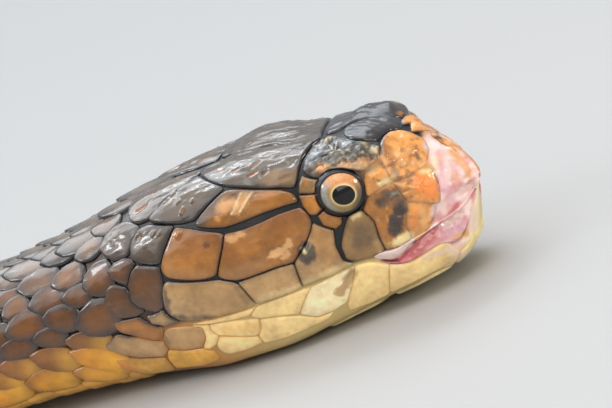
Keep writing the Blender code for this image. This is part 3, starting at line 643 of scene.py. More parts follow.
# Scales between the head's shields and the regular rows; each stands off the one behind it
napeScales = {
    "napeA": ("scaleTop", [(131, 223.3), (127.7, 214.6), (130.5, 206), (139.1, 193.6), (147, 187.2),
                           (153.3, 184.5), (170.2, 176.1), (189.8, 166.3), (204, 160.6), (212.2, 157.8),
                           (204.2, 166.5), (198, 174.3), (182.2, 185.4), (167.8, 198.8), (148.7, 219.6),
                           (138, 224.3)]),
    "napeB": ("scaleTop", [(147.8, 219.9), (158.3, 207.4), (173.6, 192.1), (187, 182.5), (198.3, 174.8),
                           (206, 180.4), (214, 184.4), (224, 187.4), (213, 198), (203, 209.3), (194, 220.4),
                           (181.2, 224), (167.8, 224.4), (151.6, 223.2)]),
    "napeC": ("scaleTop", [(130.5, 250), (131.5, 240.5), (139.1, 228.5), (148.7, 223.9), (160.2, 225),
                           (173.5, 225), (168.8, 236), (163, 251), (160, 264), (151.6, 265.6), (139.1, 263.6),
                           (131.5, 259.6)]),
    "napeD": ("scaleBrown", [(130.6, 272), (136.2, 264.6), (158.4, 266.8), (161.2, 279), (162.6, 286),
                             (161.6, 297), (164, 308), (158, 313), (148, 311), (139, 307), (130.6, 298.4),
                             (127.9, 284.5)]),
    "napeE": ("scaleTop", [(98.7, 249.8), (105.6, 235.9), (114, 226.1), (125.1, 219.9), (133.4, 223),
                           (139.6, 226.6), (131.4, 239), (129.6, 249.8), (127, 256.7), (114, 262.3),
                           (105.6, 258.1)]),
    "napeF": ("scaleBrown", [(107, 272), (114, 262), (123.7, 257.4), (130.6, 258.6), (134.6, 264),
                             (130, 272), (127.4, 286), (118.1, 283.1), (109.8, 278.9)]),
    "napeG": ("scaleBrown", [(104.2, 301.2), (105.6, 288.7), (112.6, 283), (125.1, 287.6), (129, 293),
                             (131, 299.4), (139.4, 307.9), (145, 312), (137.6, 317), (125.1, 319),
                             (115.4, 318.6), (108.4, 312.3)]),
    "napeH": ("amber", [(113, 321), (125.1, 319.4), (138, 317.4), (147.3, 322.6), (163, 329), (163, 338),
                        (157.1, 341.5), (139, 337.3), (122.3, 333.2), (115.4, 328)]),
    "napeI": ("tan", [(104.2, 344.3), (116.7, 333.6), (132, 337), (152.9, 342), (163, 342.6), (168, 351),
                      (164, 357.4), (139, 358), (122.3, 354.4), (109.8, 350)]),
    "napeJ": ("tan", [(145.9, 315.8), (154, 314.4), (161.8, 310), (166.8, 315.6), (179, 323),
                      (166, 327), (152, 324)]),
    "napeK": ("throat", [(112, 356), (124, 358), (140, 359.4), (164, 359), (176, 371), (150, 374),
                         (122, 368)]),
}
# The neck's first scales: front end and rear tip in photo pixels, and width in mm
neckLeaves = [
    ((109.3, 273.7), (82.9, 288.3), 7.4), ((100.5, 239.2), (74.1, 261.9), 5.8),
    ((79.9, 242.1), (41.8, 265.6), 6.0), ((68.9, 240.7), (31.5, 261.9), 5.2),
    ((41.1, 248), (0.7, 269.3), 5.2), ((55.7, 273.7), (16.9, 293.5), 6.2),
    ((26.4, 273.7), (-9.5, 289.1), 5.8), ((80.7, 270.7), (52.8, 286.1), 5.8),
    ((88, 294.2), (60.9, 300.1), 5.2), ((62.3, 294.2), (26.4, 309.6), 5.8),
    ((17.6, 294.9), (-7.3, 305.2), 5.2), ((25.7, 301.5), (0, 319.1), 5.6),
    ((116, 220), (91, 236), 5.2), ((105, 219), (69, 239), 5.2),
    ((74, 232), (41, 247), 4.8), ((41, 246), (3, 259), 4.8),
    ((114.4, 314.7), (75.5, 325), 8.0), ((77, 319), (40.7, 319), 5.8), ((41, 319.8), (1.5, 335.2), 5.8),
    ((65.3, 336.7), (30.8, 339.6), 5.0), ((110, 344), (64.5, 341), 5.8), ((77.7, 362.3), (27.9, 355.7), 6.4),
    ((31.5, 344), (-3, 356), 5.4), ((128, 366), (68.6, 350), 6.8), ((39.6, 370), (-2, 366), 6.2),
    ((73.3, 379), (25.3, 382), 6.4), ((25, 383), (-20, 378), 6.2), ((125, 374), (72, 372), 5.6),
]
print("form, camera and outlines ready")


def roundedOutline(points, radius, count=112):
    # a closed outline with rounded corners, resampled evenly
    points = np.array(points, float)
    lines = []
    for i, corner in enumerate(points):
        before, after = points[i - 1], points[(i + 1) % len(points)]
        a = corner + (before - corner) * min(radius / np.linalg.norm(before - corner), 0.48)
        b = corner + (after - corner) * min(radius / np.linalg.norm(after - corner), 0.48)
        f = np.linspace(0, 1, 7)[:, None]
        lines.append((1 - f) ** 2 * a + 2 * f * (1 - f) * corner + f ** 2 * b)
    loop = np.concatenate(lines)
    loop = np.concatenate([loop, loop[:1]])
    run = np.concatenate([[0], np.cumsum(np.linalg.norm(np.diff(loop, axis=0), axis=1))])
    even = np.linspace(0, run[-1], count + 1)[:-1]
    return np.stack([np.interp(even, run, loop[:, i]) for i in range(2)], 1)


def edgeDistance(points, loop):
    # distance from each point to a closed loop, all in the plane
    best = np.full(len(points), 1e9)
    for start, end in zip(loop, np.roll(loop, -1, 0)):
        best = np.minimum(best, lineDistance(points, start, end))
    return best


class Heap:
    # many small closed meshes gathered as arrays and made into one object
    def __init__(self):
        self.points, self.tints, self.uvs, self.faces, self.count = [], [], [], {}, 0

    def add(self, points, tint, uv, faces, under=()):
        # under: faces of an underside, which share a small patch of the map
        for groups, hidden in ((faces, False), (under, True)):
            for group in groups:
                group = np.asarray(group)
                corners = group.shape[1]
                if hidden:
                    turn = np.arange(corners) * 2 * math.pi / corners
                    own = np.stack([0.008 + 0.005 * np.cos(turn), 0.008 + 0.005 * np.sin(turn)], -1)
                    own = np.broadcast_to(own, group.shape + (2,))
                else:
                    own = uv[group]
                self.faces.setdefault(corners, []).append((group + self.count, own))
        self.points.append(points)
        self.tints.append(np.clip(tint, 0, 1))
        self.count += len(points)

    def make(self, name, material):
        mesh = bpy.data.meshes.new(name)
        points = np.concatenate(self.points)
        kinds = [groups for _, groups in sorted(self.faces.items())]
        corners = [np.concatenate([group for group, _ in groups]) for groups in kinds]
        uvs = [np.concatenate([own for _, own in groups]).reshape(-1, 2) for groups in kinds]
        sizes = np.concatenate([np.full(len(group), group.shape[1]) for group in corners])
        loops = np.concatenate([group.ravel() for group in corners])
        mesh.vertices.add(len(points))
        mesh.vertices.foreach_set("co", points.astype(np.float32).ravel())
        mesh.loops.add(len(loops))
        mesh.loops.foreach_set("vertex_index", loops.astype(np.int32))
        mesh.polygons.add(len(sizes))
        mesh.polygons.foreach_set("loop_start", np.concatenate([[0], np.cumsum(sizes)[:-1]]).astype(np.int32))
        mesh.polygons.foreach_set("loop_total", sizes.astype(np.int32))
        mesh.update(calc_edges=True)
        tint = mesh.attributes.new("tint", "FLOAT_COLOR", "POINT")
        colours = np.concatenate([np.concatenate(self.tints), np.ones((len(points), 1))], 1)
        tint.data.foreach_set("color", colours.astype(np.float32).ravel())
        uv = mesh.uv_layers.new(name="OFBake")
        uv.data.foreach_set("uv", np.concatenate(uvs).astype(np.float32).ravel())
        mesh.shade_smooth()
        thing = bpy.data.objects.new(name, mesh)
        bpy.context.scene.collection.objects.link(thing)
        mesh.materials.append(material)
        print(name, len(points), "points,", int((sizes - 2).sum()), "triangles")
        return thing


def gridQuads(rows, columns, closed=False):
    index = np.arange(rows * columns).reshape(rows, columns)
    a, b = index[:-1], index[1:]
    if closed:
        return np.stack([a, np.roll(a, -1, 1), np.roll(b, -1, 1), b], -1).reshape(-1, 4)
    return np.stack([a[:, :-1], a[:, 1:], b[:, 1:], b[:, :-1]], -1).reshape(-1, 4)


def gridRim(rows, columns):
    index = np.arange(rows * columns).reshape(rows, columns)
    return np.concatenate([index[0, :-1], index[:-1, -1], index[-1, :0:-1], index[:0:-1, 0]])


def bodyMap(t, girth):
    # place on the unwrapped skin, 0 to 1 both ways
    return np.stack([0.02 + 0.96 * (np.asarray(girth) % 16) / 16, 0.02 + 0.96 * np.asarray(t) / 3000], -1)


def headMap(t, girth):
    # the head's part of the unwrap, enlarged so that its shields keep their detail
    around = ((np.asarray(girth) + 8) % 16) / 16
    return np.stack([0.02 + 0.96 * around, 0.02 + 0.96 * np.asarray(t) / 110], -1)


def addTiles(heap, points, tint, place, across, down):
    # many like grids, one for each row of the arrays, each closed by a flat underside
    quads, rim = gridQuads(down + 1, across + 1)[:, ::-1], gridRim(down + 1, across + 1)
    shift = (np.arange(len(points)) * points.shape[1])[:, None, None]
    heap.add(points.reshape(-1, 3), tint.reshape(-1, 3), place.reshape(-1, 2),
             [(quads[None] + shift).reshape(-1, 4)], [rim[None] + shift[:, 0]])


# Head shields: how a plate is shaped, in mm
shieldShape = {
    "gap": -0.13,          # from the middle of a seam to the plate's edge; plates cross under their seams
    "root": 0.62,          # how far the plate's edge is sunk
    "rise": 0.12,
    "edgeRound": 0.62,     # width of the rolled edge
    "crown": 0.34,
    "seamWidth": 0.36,     # reach of the seam's dark colour
    "lap": 0.6,
    "ringStep": 0.5,
    "pointStep": 0.3,
    "edgeRings": (0, 0.008, 0.018, 0.032, 0.05, 0.07, 0.094),
}
# The middle line between the left and the right shields in photo pixels, from the nape to the snout
midlinePixels = [(224.9, 152.3), (250, 149), (280, 143), (300, 139), (319, 136.8), (341.6, 128.8),
                 (352, 127.5), (364, 127.5), (378, 127.5), (387, 126), (395, 125.5), (402.5, 124.8),
                 (410.6, 131.5), (425, 134)]
midline = fromPhoto(midlinePixels)
midline = midline[np.argsort(midline[:, 0])]
# Dents and ridges: ends in photo pixels, half-width in pixels, height in mm
dents = [
    ((219, 171.5), (223, 170), 2.6, -0.35), ((234, 172), (239, 169.5), 2.6, -0.35),
    ((253, 168), (260, 163), 2.2, -0.35), ((249, 177), (257, 172), 2.2, -0.3),
    ((262, 176), (268, 171), 2.0, -0.22), ((226, 160), (230, 158.5), 2.0, -0.25),
    ((276, 160), (290, 152), 1.8, -0.25), ((270, 168), (286, 163), 1.8, 0.22),
    ((290, 166), (296, 160), 2, -0.2),
    ((138, 213), (146, 207), 2.8, -0.45), ((148, 192), (156, 188.6), 2.6, -0.4),
    ((173, 197), (176, 194), 2, 0.3), ((178, 205), (181, 202), 2, 0.3), ((182, 214), (184, 209), 2.2, 0.35),
    ((192, 203), (194, 200), 1.8, 0.3), ((165, 205), (169, 201), 2, 0.25),
    ((154, 236), (156, 232), 2, 0.3), ((159.5, 235), (161, 232), 1.6, 0.25),
    ((138, 240), (141, 236), 2.4, -0.35), ((178, 237), (180.5, 233), 2.0, 0.4),
    ((89, 277), (92, 272), 2.2, 0.3), ((90, 284), (93, 281), 1.8, 0.25),
    ((241.7, 194), (233, 215), 1.6, 0.28), ((252, 194), (241, 212), 1.6, 0.28),
    ((307, 250.5), (307, 254), 7.6, 0.9),
    ((398, 213), (395, 230), 5, -0.2), ((383, 194), (398, 190), 3, -0.15), ((417, 153), (419, 160), 2, -0.3),
    ((377.6, 181), (378.6, 181.4), 1.3, -0.5), ((434, 172), (439, 184), 1.6, -0.5),
]
# the same for the healed snout
scarForms = [
    ((441, 150), (443, 200), 4, 0.3), ((453, 160), (455, 188), 3.4, -0.4),
    ((466, 158), (474, 176), 4.5, -0.45), ((474, 185), (462, 193), 4, -1.5),
    ((470, 205), (474, 228), 5, 0.1), ((464, 205), (468, 225), 3, -0.2),
    ((470, 240), (462, 252), 3, 0.25),
]


def placeForms(forms):
    k = cameraSetup["metresPerPixel"]
    return [(onSkin(*fromPhoto([a, b]).T), size * k, height) for a, b, size, height in forms]


dents, scarForms = placeForms(dents), placeForms(scarForms)


def formHeight(points, forms):
    out = 0
    for (a, b), size, height in forms:
        away = lineDistance(points, a, b) / size
        out = out + height * np.exp(-away ** 2 * 1.2)
    return out


def relief(points, right, t, girth):
    # dents, ridges and wrinkles of the shields, in mm
    side = sideGirth(girth)
    twin = np.where(np.asarray(right)[..., None], points, mirrored(points))
    p = points / mm
    crest = between(3.0, 2.2, side)
    snout = snoutPart(t, girth)
    wrinkle = 0.05 + 0.15 * crest
    out = formHeight(twin, dents)
    out = out + wrinkle * (softNoise(p, (5.5, 1.5, 1.5), 1) + 0.5 * softNoise(p, (2.4, 0.8, 0.8), 2))
    out = out + 0.04 * crest * softNoise(p, (0.9, 0.45, 0.45), 3)
    return out + snout * (0.13 * softNoise(p, 1.1, 6) + 0.08 * softNoise(p, 0.5, 9))


def foldHeight(points):
    # the deep folds over the eye
    p = points / mm
    broad = np.abs(softNoise(p, (1.5, 2.2, 1.2), 7))
    return 0.55 * broad + 0.5 * np.abs(softNoise(p, (0.7, 1.2, 0.6), 8)) - 0.38


def shieldTint(points, right, t, girth, colour):
    # a shield's colour with its mottling, marks and specks; some marks are painted highlights and painted
    # shade
    p = points / mm
    tint = np.broadcast_to(shade(colour), points.shape).copy()
    tone = 0.20 * softNoise(p, (3.6, 2.2, 2.2), 11) + 0.14 * softNoise(p, 0.9, 12)
    tone = tone + 0.10 * softNoise(p, 0.4, 17)
    tint = tint * (1 + tone)[..., None]
    snout = snoutPart(t, girth)
    specks = snout * between(0.25, 0.6, softNoise(p, 0.8, 13) + 0.4 * softNoise(p, 2.6, 14))
    tint = mixed(tint, shade("snoutSeam") * 0.7, 0.5 * specks)
    flakes = snout * between(0.3, 0.65, softNoise(p, 0.9, 15) + 0.3 * softNoise(p, 2.0, 16))
    tint = mixed(tint, shade("peach"), 0.6 * flakes)
    return paintHead(points, right, tint)


def overMidline(t, girth):
    # a place on the right side taken to the left, where the seam between the two sides isn't quite central
    shift = np.interp(t, midline[:, 0], midline[:, 1]) * between(62, 48, t)
    return -girth + 2 * shift * between(3.2, 1.5, girth)


def addPlate(heap, name, colour, outline, side=1, lap=0.0, flat=1.0, base=0.0):
    # outline is a loop of (t, girth); side -1 takes it to the left
    shape = shieldShape
    outline = np.array(outline, float)
    metric = float(girthLength(outline[:, 0].mean(), outline[:, 1].mean()))
    loop = outline * (1, metric)
    middle = loop.mean(0)
    turned = np.roll(loop, -1, 0) - np.roll(loop, 1, 0)
    inward = np.stack([turned[:, 1], -turned[:, 0]], 1)
    inward /= np.maximum(np.linalg.norm(inward, axis=1, keepdims=True), 1e-9)
    if (inward * (loop - middle)).sum() > 0:
        inward = -inward
    loop = loop + inward * shape["gap"]
    reach = np.linalg.norm(loop - middle, axis=1).max()
    inner = np.linspace(0.12, 0.97, int(np.clip(reach / shape["ringStep"], 7, 24)))
    rings = np.concatenate([shape["edgeRings"], inner])[:, None, None]
    flatPoints = np.concatenate([(loop + (middle - loop) * rings).reshape(-1, 2), middle[None]])
    count = len(loop)
    distance = edgeDistance(flatPoints, loop)
    distance[:count] = 0
    t, girth = flatPoints[:, 0], flatPoints[:, 1] / metric
    if side < 0:
        girth = overMidline(t, girth)
        t = t - 1.1 * np.exp(-((t - 12.8) / 2.8) ** 2)      # the left brow reaches further forward
    roll = np.minimum(distance / shape["edgeRound"], 1)
    snout = snoutPart(t, girth)
    root = shape["root"] * (1 - 0.65 * snout)
    rise = base - root + (root + shape["rise"]) * np.sqrt(np.clip(1 - (1 - roll) ** 2, 0, 1))
    rise = rise + shape["crown"] * flat * (1 - 0.6 * snout) * (1 - np.exp(-distance / 2.2))
    ground = onSkin(t, girth)
    right = np.full(len(t), side > 0)
    inside = between(0.05, 0.6, distance)
    rise = rise + relief(ground, right, t, girth) * inside
    folds = 0 * t
    if name == "supraocular":
        folds = foldHeight(ground) * inside * between(2.75, 2.1, sideGirth(girth)) * (1 if side > 0 else 0.2)
        rise = rise + folds
    rise = rise + (0.8 * formHeight(ground, scarForms) - 0.45) * between(5.5, 2.5, t)
    back = (t - t.min()) / max(np.ptp(t), 1e-9)
    rise = rise + lap * (back - 0.4) * between(0, 0.5, distance)
    points = overEye(onSkin(t, girth, rise), np.maximum(rise, -0.3))
    tint = shieldTint(ground, right, t, girth, colour)
    # painted shade in the valleys of the brow's folds, and a cream painted highlight on their crests
    tint = mixed(tint, shade("seam"), 0.85 * between(-0.02, -0.3, folds))
    tint = mixed(tint, shade("cream"), 0.4 * between(0.1, 0.4, folds))
    seam, strength = seamTint(t, girth)
    # the lapping nape scales turn grey towards their rims: partly their own dark edges, partly painted shade
    tint = mixed(tint, shade("scaleEdgeAndShade"), (0.75 if lap else 0.0) * strength * np.exp(-distance / 1.1))
    # a darker copy of the shield's own colour towards its edge: painted shade where the edge rolls down into
    # the seam
    tint = mixed(tint, tint * 0.6 + seam * 0.2, 0.7 * strength * np.exp(-distance / 0.8))
    tint = mixed(tint, seam, strength * np.exp(-(distance / shape["seamWidth"]) ** 1.6))
    quads = gridQuads(len(rings), count, closed=True)
    last = np.arange(count) + (len(rings) - 1) * count
    fans = np.stack([last, np.roll(last, -1), np.full(count, len(t) - 1)], -1)
    under = np.arange(count)[::-1][None]
    corner = points[quads[:, 0]]
    spin = np.cross(points[quads[:, 1]] - corner, points[quads[:, 2]] - corner).sum(0)
    if spin @ (onSkin(t[-1], girth[-1], 1.0) - onSkin(t[-1], girth[-1])) < 0:
        quads, fans, under = quads[:, ::-1], fans[:, ::-1], under[:, ::-1]
    heap.add(points, tint, headMap(t, girth), [quads, fans], [under])


def tracedLoop(pixels):
    pixels = np.array(pixels, float)
    turned = np.roll(pixels, -1, 0)
    area = abs((pixels[:, 0] * turned[:, 1] - pixels[:, 1] * turned[:, 0]).sum()) / 2
    around = np.linalg.norm(turned - pixels, axis=1).sum() * cameraSetup["metresPerPixel"] / mm
    count = int(np.clip(around / shieldShape["pointStep"], 72, 200))
    loop = fromPhoto(roundedOutline(pixels, float(np.clip(0.06 * math.sqrt(area), 1.2, 3.6)), count))
    return (np.roll(loop, 1, 0) + 2 * loop + np.roll(loop, -1, 0)) / 4


def tableLoop(corners, radius=0.8):
    loop = np.array(corners, float)
    metric = float(girthLength(loop[:, 0].mean(), loop[:, 1].mean()))
    return roundedOutline(loop * (1, metric), radius) / (1, metric)


# Shields that the photograph doesn't show whole, as corners (mm behind the snout tip, girth)
leftFront = {
    "internasal": ("orange", [(2.4, 0.1), (6.9, 0.06), (8.0, 1.2), (6.8, 2.25), (3.0, 2.25)]),
    "rostralSide": ("peach", [(0.8, 0.3), (2.3, 0.15), (2.9, 2.2), (3.1, 3.95), (1.5, 4.4)]),
    "nasalFront": ("orange", [(3.2, 2.35), (6.5, 2.4), (6.6, 4.45), (3.5, 4.45)]),
}
chinMiddle = {
    "mental": ("cream", [(4.6, 7.0), (7.4, 6.6), (9.8, 7.1), (10.4, 8), (9.8, 8.9), (7.4, 9.4), (4.6, 9.0)]),
}
chinPairs = {
    "genialFront": ("cream", [(10.8, 7.1), (14, 6.75), (22, 6.95), (24, 7.5), (23, 7.96), (11.4, 7.96)]),
    "genialRear": ("cream", [(24, 7.55), (25.6, 6.95), (36, 7.0), (40, 7.5), (38, 7.96), (24.4, 7.96)]),
}


def makeHeadShields(materials):
    heaps = {side: Heap() for side in (1, -1)}
    jaw = Heap()
    for side in (1, -1):
        for name, (colour, _) in sideShields.items():
            if side > 0 or name not in middleShields:
                colour = colour if side > 0 else leftColours.get(name, colour)
                addPlate(heaps[side], name, colour, loops[name], side)
        for name, (colour, _) in napeScales.items():
            addPlate(heaps[side], name, colour, loops[name], side, lap=shieldShape["lap"])
        for name, (colour, _) in jawShields.items():
            addPlate(jaw, name, colour, loops[name], side, flat=0.5, base=-0.1)
        for name, (colour, corners) in chinPairs.items():
            addPlate(jaw, name, colour, tableLoop(corners), side, flat=0.5, base=-0.1)
    for name, (colour, corners) in leftFront.items():
        addPlate(heaps[-1], name, colour, tableLoop(corners), -1)
    for name, (colour, corners) in chinMiddle.items():
        addPlate(jaw, name, colour, tableLoop(corners), flat=0.5, base=-0.1)
    return [(heaps[1].make("headShieldsRight", materials["shield"]), "head_shields"),
            (heaps[-1].make("headShieldsLeft", materials["shield"]), "head_shields"),
            (jaw.make("jawShields", materials["jaw"]), "lip_and_chin")]


loops = {}
for table in (sideShields, napeScales, jawShields):
    for name, (_, pixels) in table.items():
        loops[name] = tracedLoop(pixels)

# Regular rows of scales on the neck and body
scaleRows = {
    "sideGirth": 5.55,         # girth of the outermost row
    "neckPitch": 6.9,          # mm from one scale to the next in a row
    "bodyPitch": 9.7,
    "tailPitch": 7.6,
    "length": 1.98,            # of the pitch
    "width": 1.74,             # of the distance between rows
    "thickness": 0.28,
    "lift": 0.95,
    "dome": 0.42,
    "leafLength": 1.18,        # of the length seen, for the neck's first scales
    "leafWidth": 1.10,
}
# where the rows begin: girth, and mm behind the snout tip
rowStart = ((0, 66), (1.0, 68), (1.5, 76), (2.0, 104), (5.6, 104), (6.0, 82), (7, 44), (8, 41))


def bodyTint(t, girth, points):
    # markings of the body, with a painted sheen on the top rows behind the head, the same for the skin and
    # for the scales on it
    side = sideGirth(girth)
    p = points / mm
    tint = mixed(shade("scaleTop"), shade("scaleBrown"), between(1.0, 2.6, side + 0.3 * softNoise(p, 9, 21)))
    # painted sheen: the top rows behind the head made lighter, as the sky's reflection makes them
    tint = mixed(tint, shade("paintedTopSheen"), 0.4 * between(1.2, 0.2, side) * between(260, 150, t))
    low = mixed(shade("amber"), shade("gold"), between(4.7, 5.3, side))
    tint = mixed(tint, low, between(4.2, 4.9, side + 0.35 * softNoise(p, 6, 22)) * between(420, 160, t))
    olive = mixed(shade("scaleDark"), shade("olive"), 0.35 + 0.25 * softNoise(p, 14, 23))
    tint = mixed(tint, olive, 0.85 * between(130, 420, t))
    wave = (t + 9 * side) / 74.0
    band = between(0.66, 0.9, np.abs((wave % 1) * 2 - 1) + 0.1 * softNoise(p, 6, 24))
    tint = mixed(tint, shade("bandPale"), 0.62 * band * between(190, 330, t) * between(2950, 2300, t))
    tint = mixed(tint, shade("tailDark"), 0.75 * between(1900, 2700, t) * (1 - 0.5 * band))
    under = mixed(shade("throat"), shade("belly"), between(90, 300, t))
    under = mixed(under, shade("bellyGrey"), between(500, 1400, t))
    return mixed(tint, under, between(5.6, 6.1, side))


def scaleGrid(across, down):
    # a rounded scale over the unit square: (along, across) from -1 to 1, and how near its rim, 0 to 1
    x, y = np.meshgrid(np.linspace(-1, 1, down + 1), np.linspace(-1, 1, across + 1), indexing="ij")
    spread = lambda v: np.sign(v) * (1 - (1 - np.abs(v)) ** 1.35)      # finer near the rim
    x, y = spread(x), spread(y)
    along = x * np.sqrt(1 - y * y / 2)
    wide = y * np.sqrt(1 - x * x / 2)
    radius = np.maximum(np.abs(x), np.abs(y))
    angle = np.arctan2(wide, along)
    power = np.where(along > 0, 1.28, 2.2)
    fuller = (np.abs(np.cos(angle)) ** power + np.abs(np.sin(angle)) ** power) ** (-1 / power)
    along, wide = along * fuller, wide * fuller
    return along.ravel(), wide.ravel(), radius.ravel()


def layScales(heap, roots, turn, length, width, across, down, seed):
    # roots are (t, girth); turn is how far each scale's axis leans towards greater girth
    along, wide, radius = scaleGrid(across, down)
    draw = np.random.default_rng(seed)
    t0, girth0 = roots[:, :1], roots[:, 1:]
    count = len(roots)
    metric = girthLength(t0, girth0)
    jitter = draw.normal(0, 1, (count, 6, 1))
    length = length[:, None] * (1 + 0.03 * jitter[:, 0])
    width = width[:, None] * (1 + 0.04 * jitter[:, 1])
    turn = turn[:, None] + 0.04 * jitter[:, 2]
    a, w = along * length / 2, wide * width / 2
    t = t0 + a * np.cos(turn) - w * np.sin(turn) + 0.02 * jitter[:, 3] * length
    girth = girth0 + (a * np.sin(turn) + w * np.cos(turn)) / metric
    shape = scaleRows
    edge = np.clip((1 - radius) * width / 2 / 0.6, 0, 1)
    body = np.sqrt(np.clip(1 - (1 - edge) ** 2, 0, 1))
    grow = np.clip(width / 7, 0.3, 1.5)
    height = grow * (body * (0.75 + shape["thickness"] + shape["dome"] * (1 - wide ** 2)) - 0.75
                     + shape["lift"] * along * 0.5)
    t = np.clip(t, 0.5, form["totalLength"] - 0.3)
    ground = onSkin(t, girth)
    p = ground / mm
    detail = softNoise(p, (2.6, 1.2, 1.2), seed + 40) * 0.09 + softNoise(p, 0.7, seed + 41) * 0.03
    points = onSkin(t, girth, height + detail * grow * body)
    rootT, rootG = np.broadcast_to(t0, t.shape), np.broadcast_to(girth0, t.shape)
    tint = bodyTint(rootT, rootG, onSkin(rootT, rootG))
    tone = 1 + 0.14 * jitter[:, 4] + 0.16 * softNoise(p, 2.4, 31) + 0.08 * softNoise(p, 0.8, 32)
    tint = tint * tone[..., None]
    low = between(4.1, 4.9, sideGirth(rootG)) * between(420, 160, rootT)
    warm = np.clip(0.5 + 0.3 * jitter[:, 5], 0, 1) * between(0.9, -0.7, along) * 0.5
    tint = mixed(tint, tint * np.array([1.15, 0.92, 0.62]), warm * (1 - low))
    tint = mixed(tint, shade("sun"), 0.7 * low * between(0.3, -0.8, along))
    tint = mixed(tint, shade("rust"), 0.35 * low * between(0.3, 0.95, along))
    # each scale greys and darkens towards its rim: partly the scales' own dark edges, partly painted shade
    edgeAndShadeTint = mixed(shade("scaleEdgeAndShade"), shade("rust") * 0.7, low)
    tint = mixed(tint, edgeAndShadeTint, 0.9 * between(0.2, 0.9, radius) ** 1.3 * (1 - 0.5 * low))
    tint = mixed(tint, shade("seam"), (1 - 0.5 * low) * np.exp(-((1 - radius) * width / 2 / 0.3) ** 1.5))
    place = bodyMap(t0, girth0) + 0.0015 * np.stack([wide, along], -1)
    addTiles(heap, points, tint, place, across, down)


def rowPitch(t):
    shape = scaleRows
    pitch = shape["neckPitch"] + (shape["bodyPitch"] - shape["neckPitch"]) * between(120, 700, t)
    return pitch + (shape["tailPitch"] - shape["bodyPitch"]) * between(2200, 2500, t)


def rowPlaces():
    # distances of the rings of scales for the even rows; odd rows sit half-way between
    places = [61.0]
    while places[-1] < form["totalLength"] - 6:
        places.append(places[-1] + float(rowPitch(places[-1])))
    return np.array(places)


def rowsAt(t):
    # rows on a side: 8 on the neck, 7 at mid-body and fewer on the tail
    return np.where(t < 420, 8, np.where(t < 2150, 7, np.where(t < 2450, 6, np.where(t < 2700, 4, 3))))


def latticeScales():
    # (t, girth, pitch, width) of every regular scale
    places = rowPlaces()
    middle = (places[1:] + places[:-1]) / 2
    found = []
    for row in range(-8, 9):
        line = places[:-1] if row % 2 == 0 else middle
        each = rowsAt(line)
        girth = row / each * scaleRows["sideGirth"]
        start = np.interp(np.abs(girth), [p[0] for p in rowStart], [p[1] for p in rowStart])
        keep = (abs(row) <= each) & (line > start)
        spacing = scaleRows["sideGirth"] / each
        found.append(np.stack([line, girth, rowPitch(line), spacing], 1)[keep])
    found = np.concatenate(found)
    found[:, 3] *= girthLength(found[:, 0], found[:, 1])
    return found


def leafScales():
    # the neck's first scales as (t, girth, length, width, turn), on both sides
    rows = []
    for front, rear, width in neckLeaves:
        (t1, g1), (t2, g2) = fromPhoto([front, rear])
        metric = float(girthLength((t1 + t2) / 2, (g1 + g2) / 2))
        seen = math.hypot(t2 - t1, (g2 - g1) * metric)
        length = seen * scaleRows["leafLength"]
        share = length / 2 / seen
        t, girth = t2 + (t1 - t2) * share, g2 + (g1 - g2) * share
        turn = math.atan2((g2 - g1) * metric, t2 - t1)
        for side in (1, -1):
            rows.append((t, girth * side, length, width * scaleRows["leafWidth"], turn * side))
    return np.array(rows)


def makeBodyScales(materials):
    lattice, leaves = latticeScales(), leafScales()
    near = np.hypot((lattice[:, None, 0] - leaves[:, 0]) / 6.0, (lattice[:, None, 1] - leaves[:, 1]) / 0.62)
    lattice = lattice[near.min(1) > 0.62]
    pieces = []
    parts = [("neckScales", 0, 175, 12), ("bodyScales1", 175, 620, 8), ("bodyScales2", 620, 1120, 8),
             ("bodyScales3", 1120, 1640, 8), ("bodyScales4", 1640, 2160, 8), ("tailScales", 2160, 3000, 6)]
    for i, (name, start, end, fine) in enumerate(parts):
        here = lattice[(lattice[:, 0] >= start) & (lattice[:, 0] < end)]
        heap = Heap()
        layScales(heap, here[:, :2], np.zeros(len(here)), here[:, 2] * scaleRows["length"],
                  here[:, 3] * scaleRows["width"], fine, fine, 60 + i)
        if i == 0:
            layScales(heap, leaves[:, :2], leaves[:, 4], leaves[:, 2], leaves[:, 3], 18, 18, 70)
        kind = "neck" if i == 0 else "tail" if name == "tailScales" else "body"
        pieces.append((heap.make(name, materials["scale"]), kind + "_scales"))
    return pieces


def makeVentrals(materials):
    # broad plates across the belly, one for each ring of scales, lapping backwards
    heap = Heap()
    places = rowPlaces()
    places = places[places > 78]
    across, down = 26, 7
    a, b = np.meshgrid(np.linspace(-1, 1, down + 1), np.linspace(-1, 1, across + 1), indexing="ij")
    a, b = a.ravel(), b.ravel()
    pitch = rowPitch(places)[:, None]
    t = places[:, None] + (a * 0.62 - 0.10 * a * np.abs(b) ** 6) * pitch + 0.2 * np.abs(b) ** 3 * pitch
    reach = (16 - 2 * (scaleRows["sideGirth"] + 0.42)) / 2
    girth = 8 + b[None] * reach * np.ones_like(t)
    t = np.clip(t, 1, form["totalLength"] - 0.3)
    edge = np.minimum(np.minimum((1 - np.abs(a)) * 5.0, (1 - np.abs(b)) * 14), 0.5) / 0.5
    body = np.sqrt(np.clip(1 - (1 - np.clip(edge, 0, 1)) ** 2, 0, 1))
    grow = np.interp(places, (0, 2500, 3000), (1, 1, 0.2))[:, None]
    points = onSkin(t, girth, grow * (-0.6 + body * (0.78 + 0.24 * a)))
    ground = onSkin(t, girth)
    tint = bodyTint(t, girth, ground) * (1 + 0.06 * softNoise(ground / mm, 5, 33))[..., None]
    # a darker copy of the colour at each plate's front and rear edge: painted shade where the plates lap
    tint = mixed(tint, tint * 0.35, np.broadcast_to(np.exp(-((1 - np.abs(a)) * 5 / 0.5) ** 1.5), t.shape))
    addTiles(heap, points, tint, bodyMap(t, girth), across, down)
    return heap.make("ventralScales", materials["scale"])


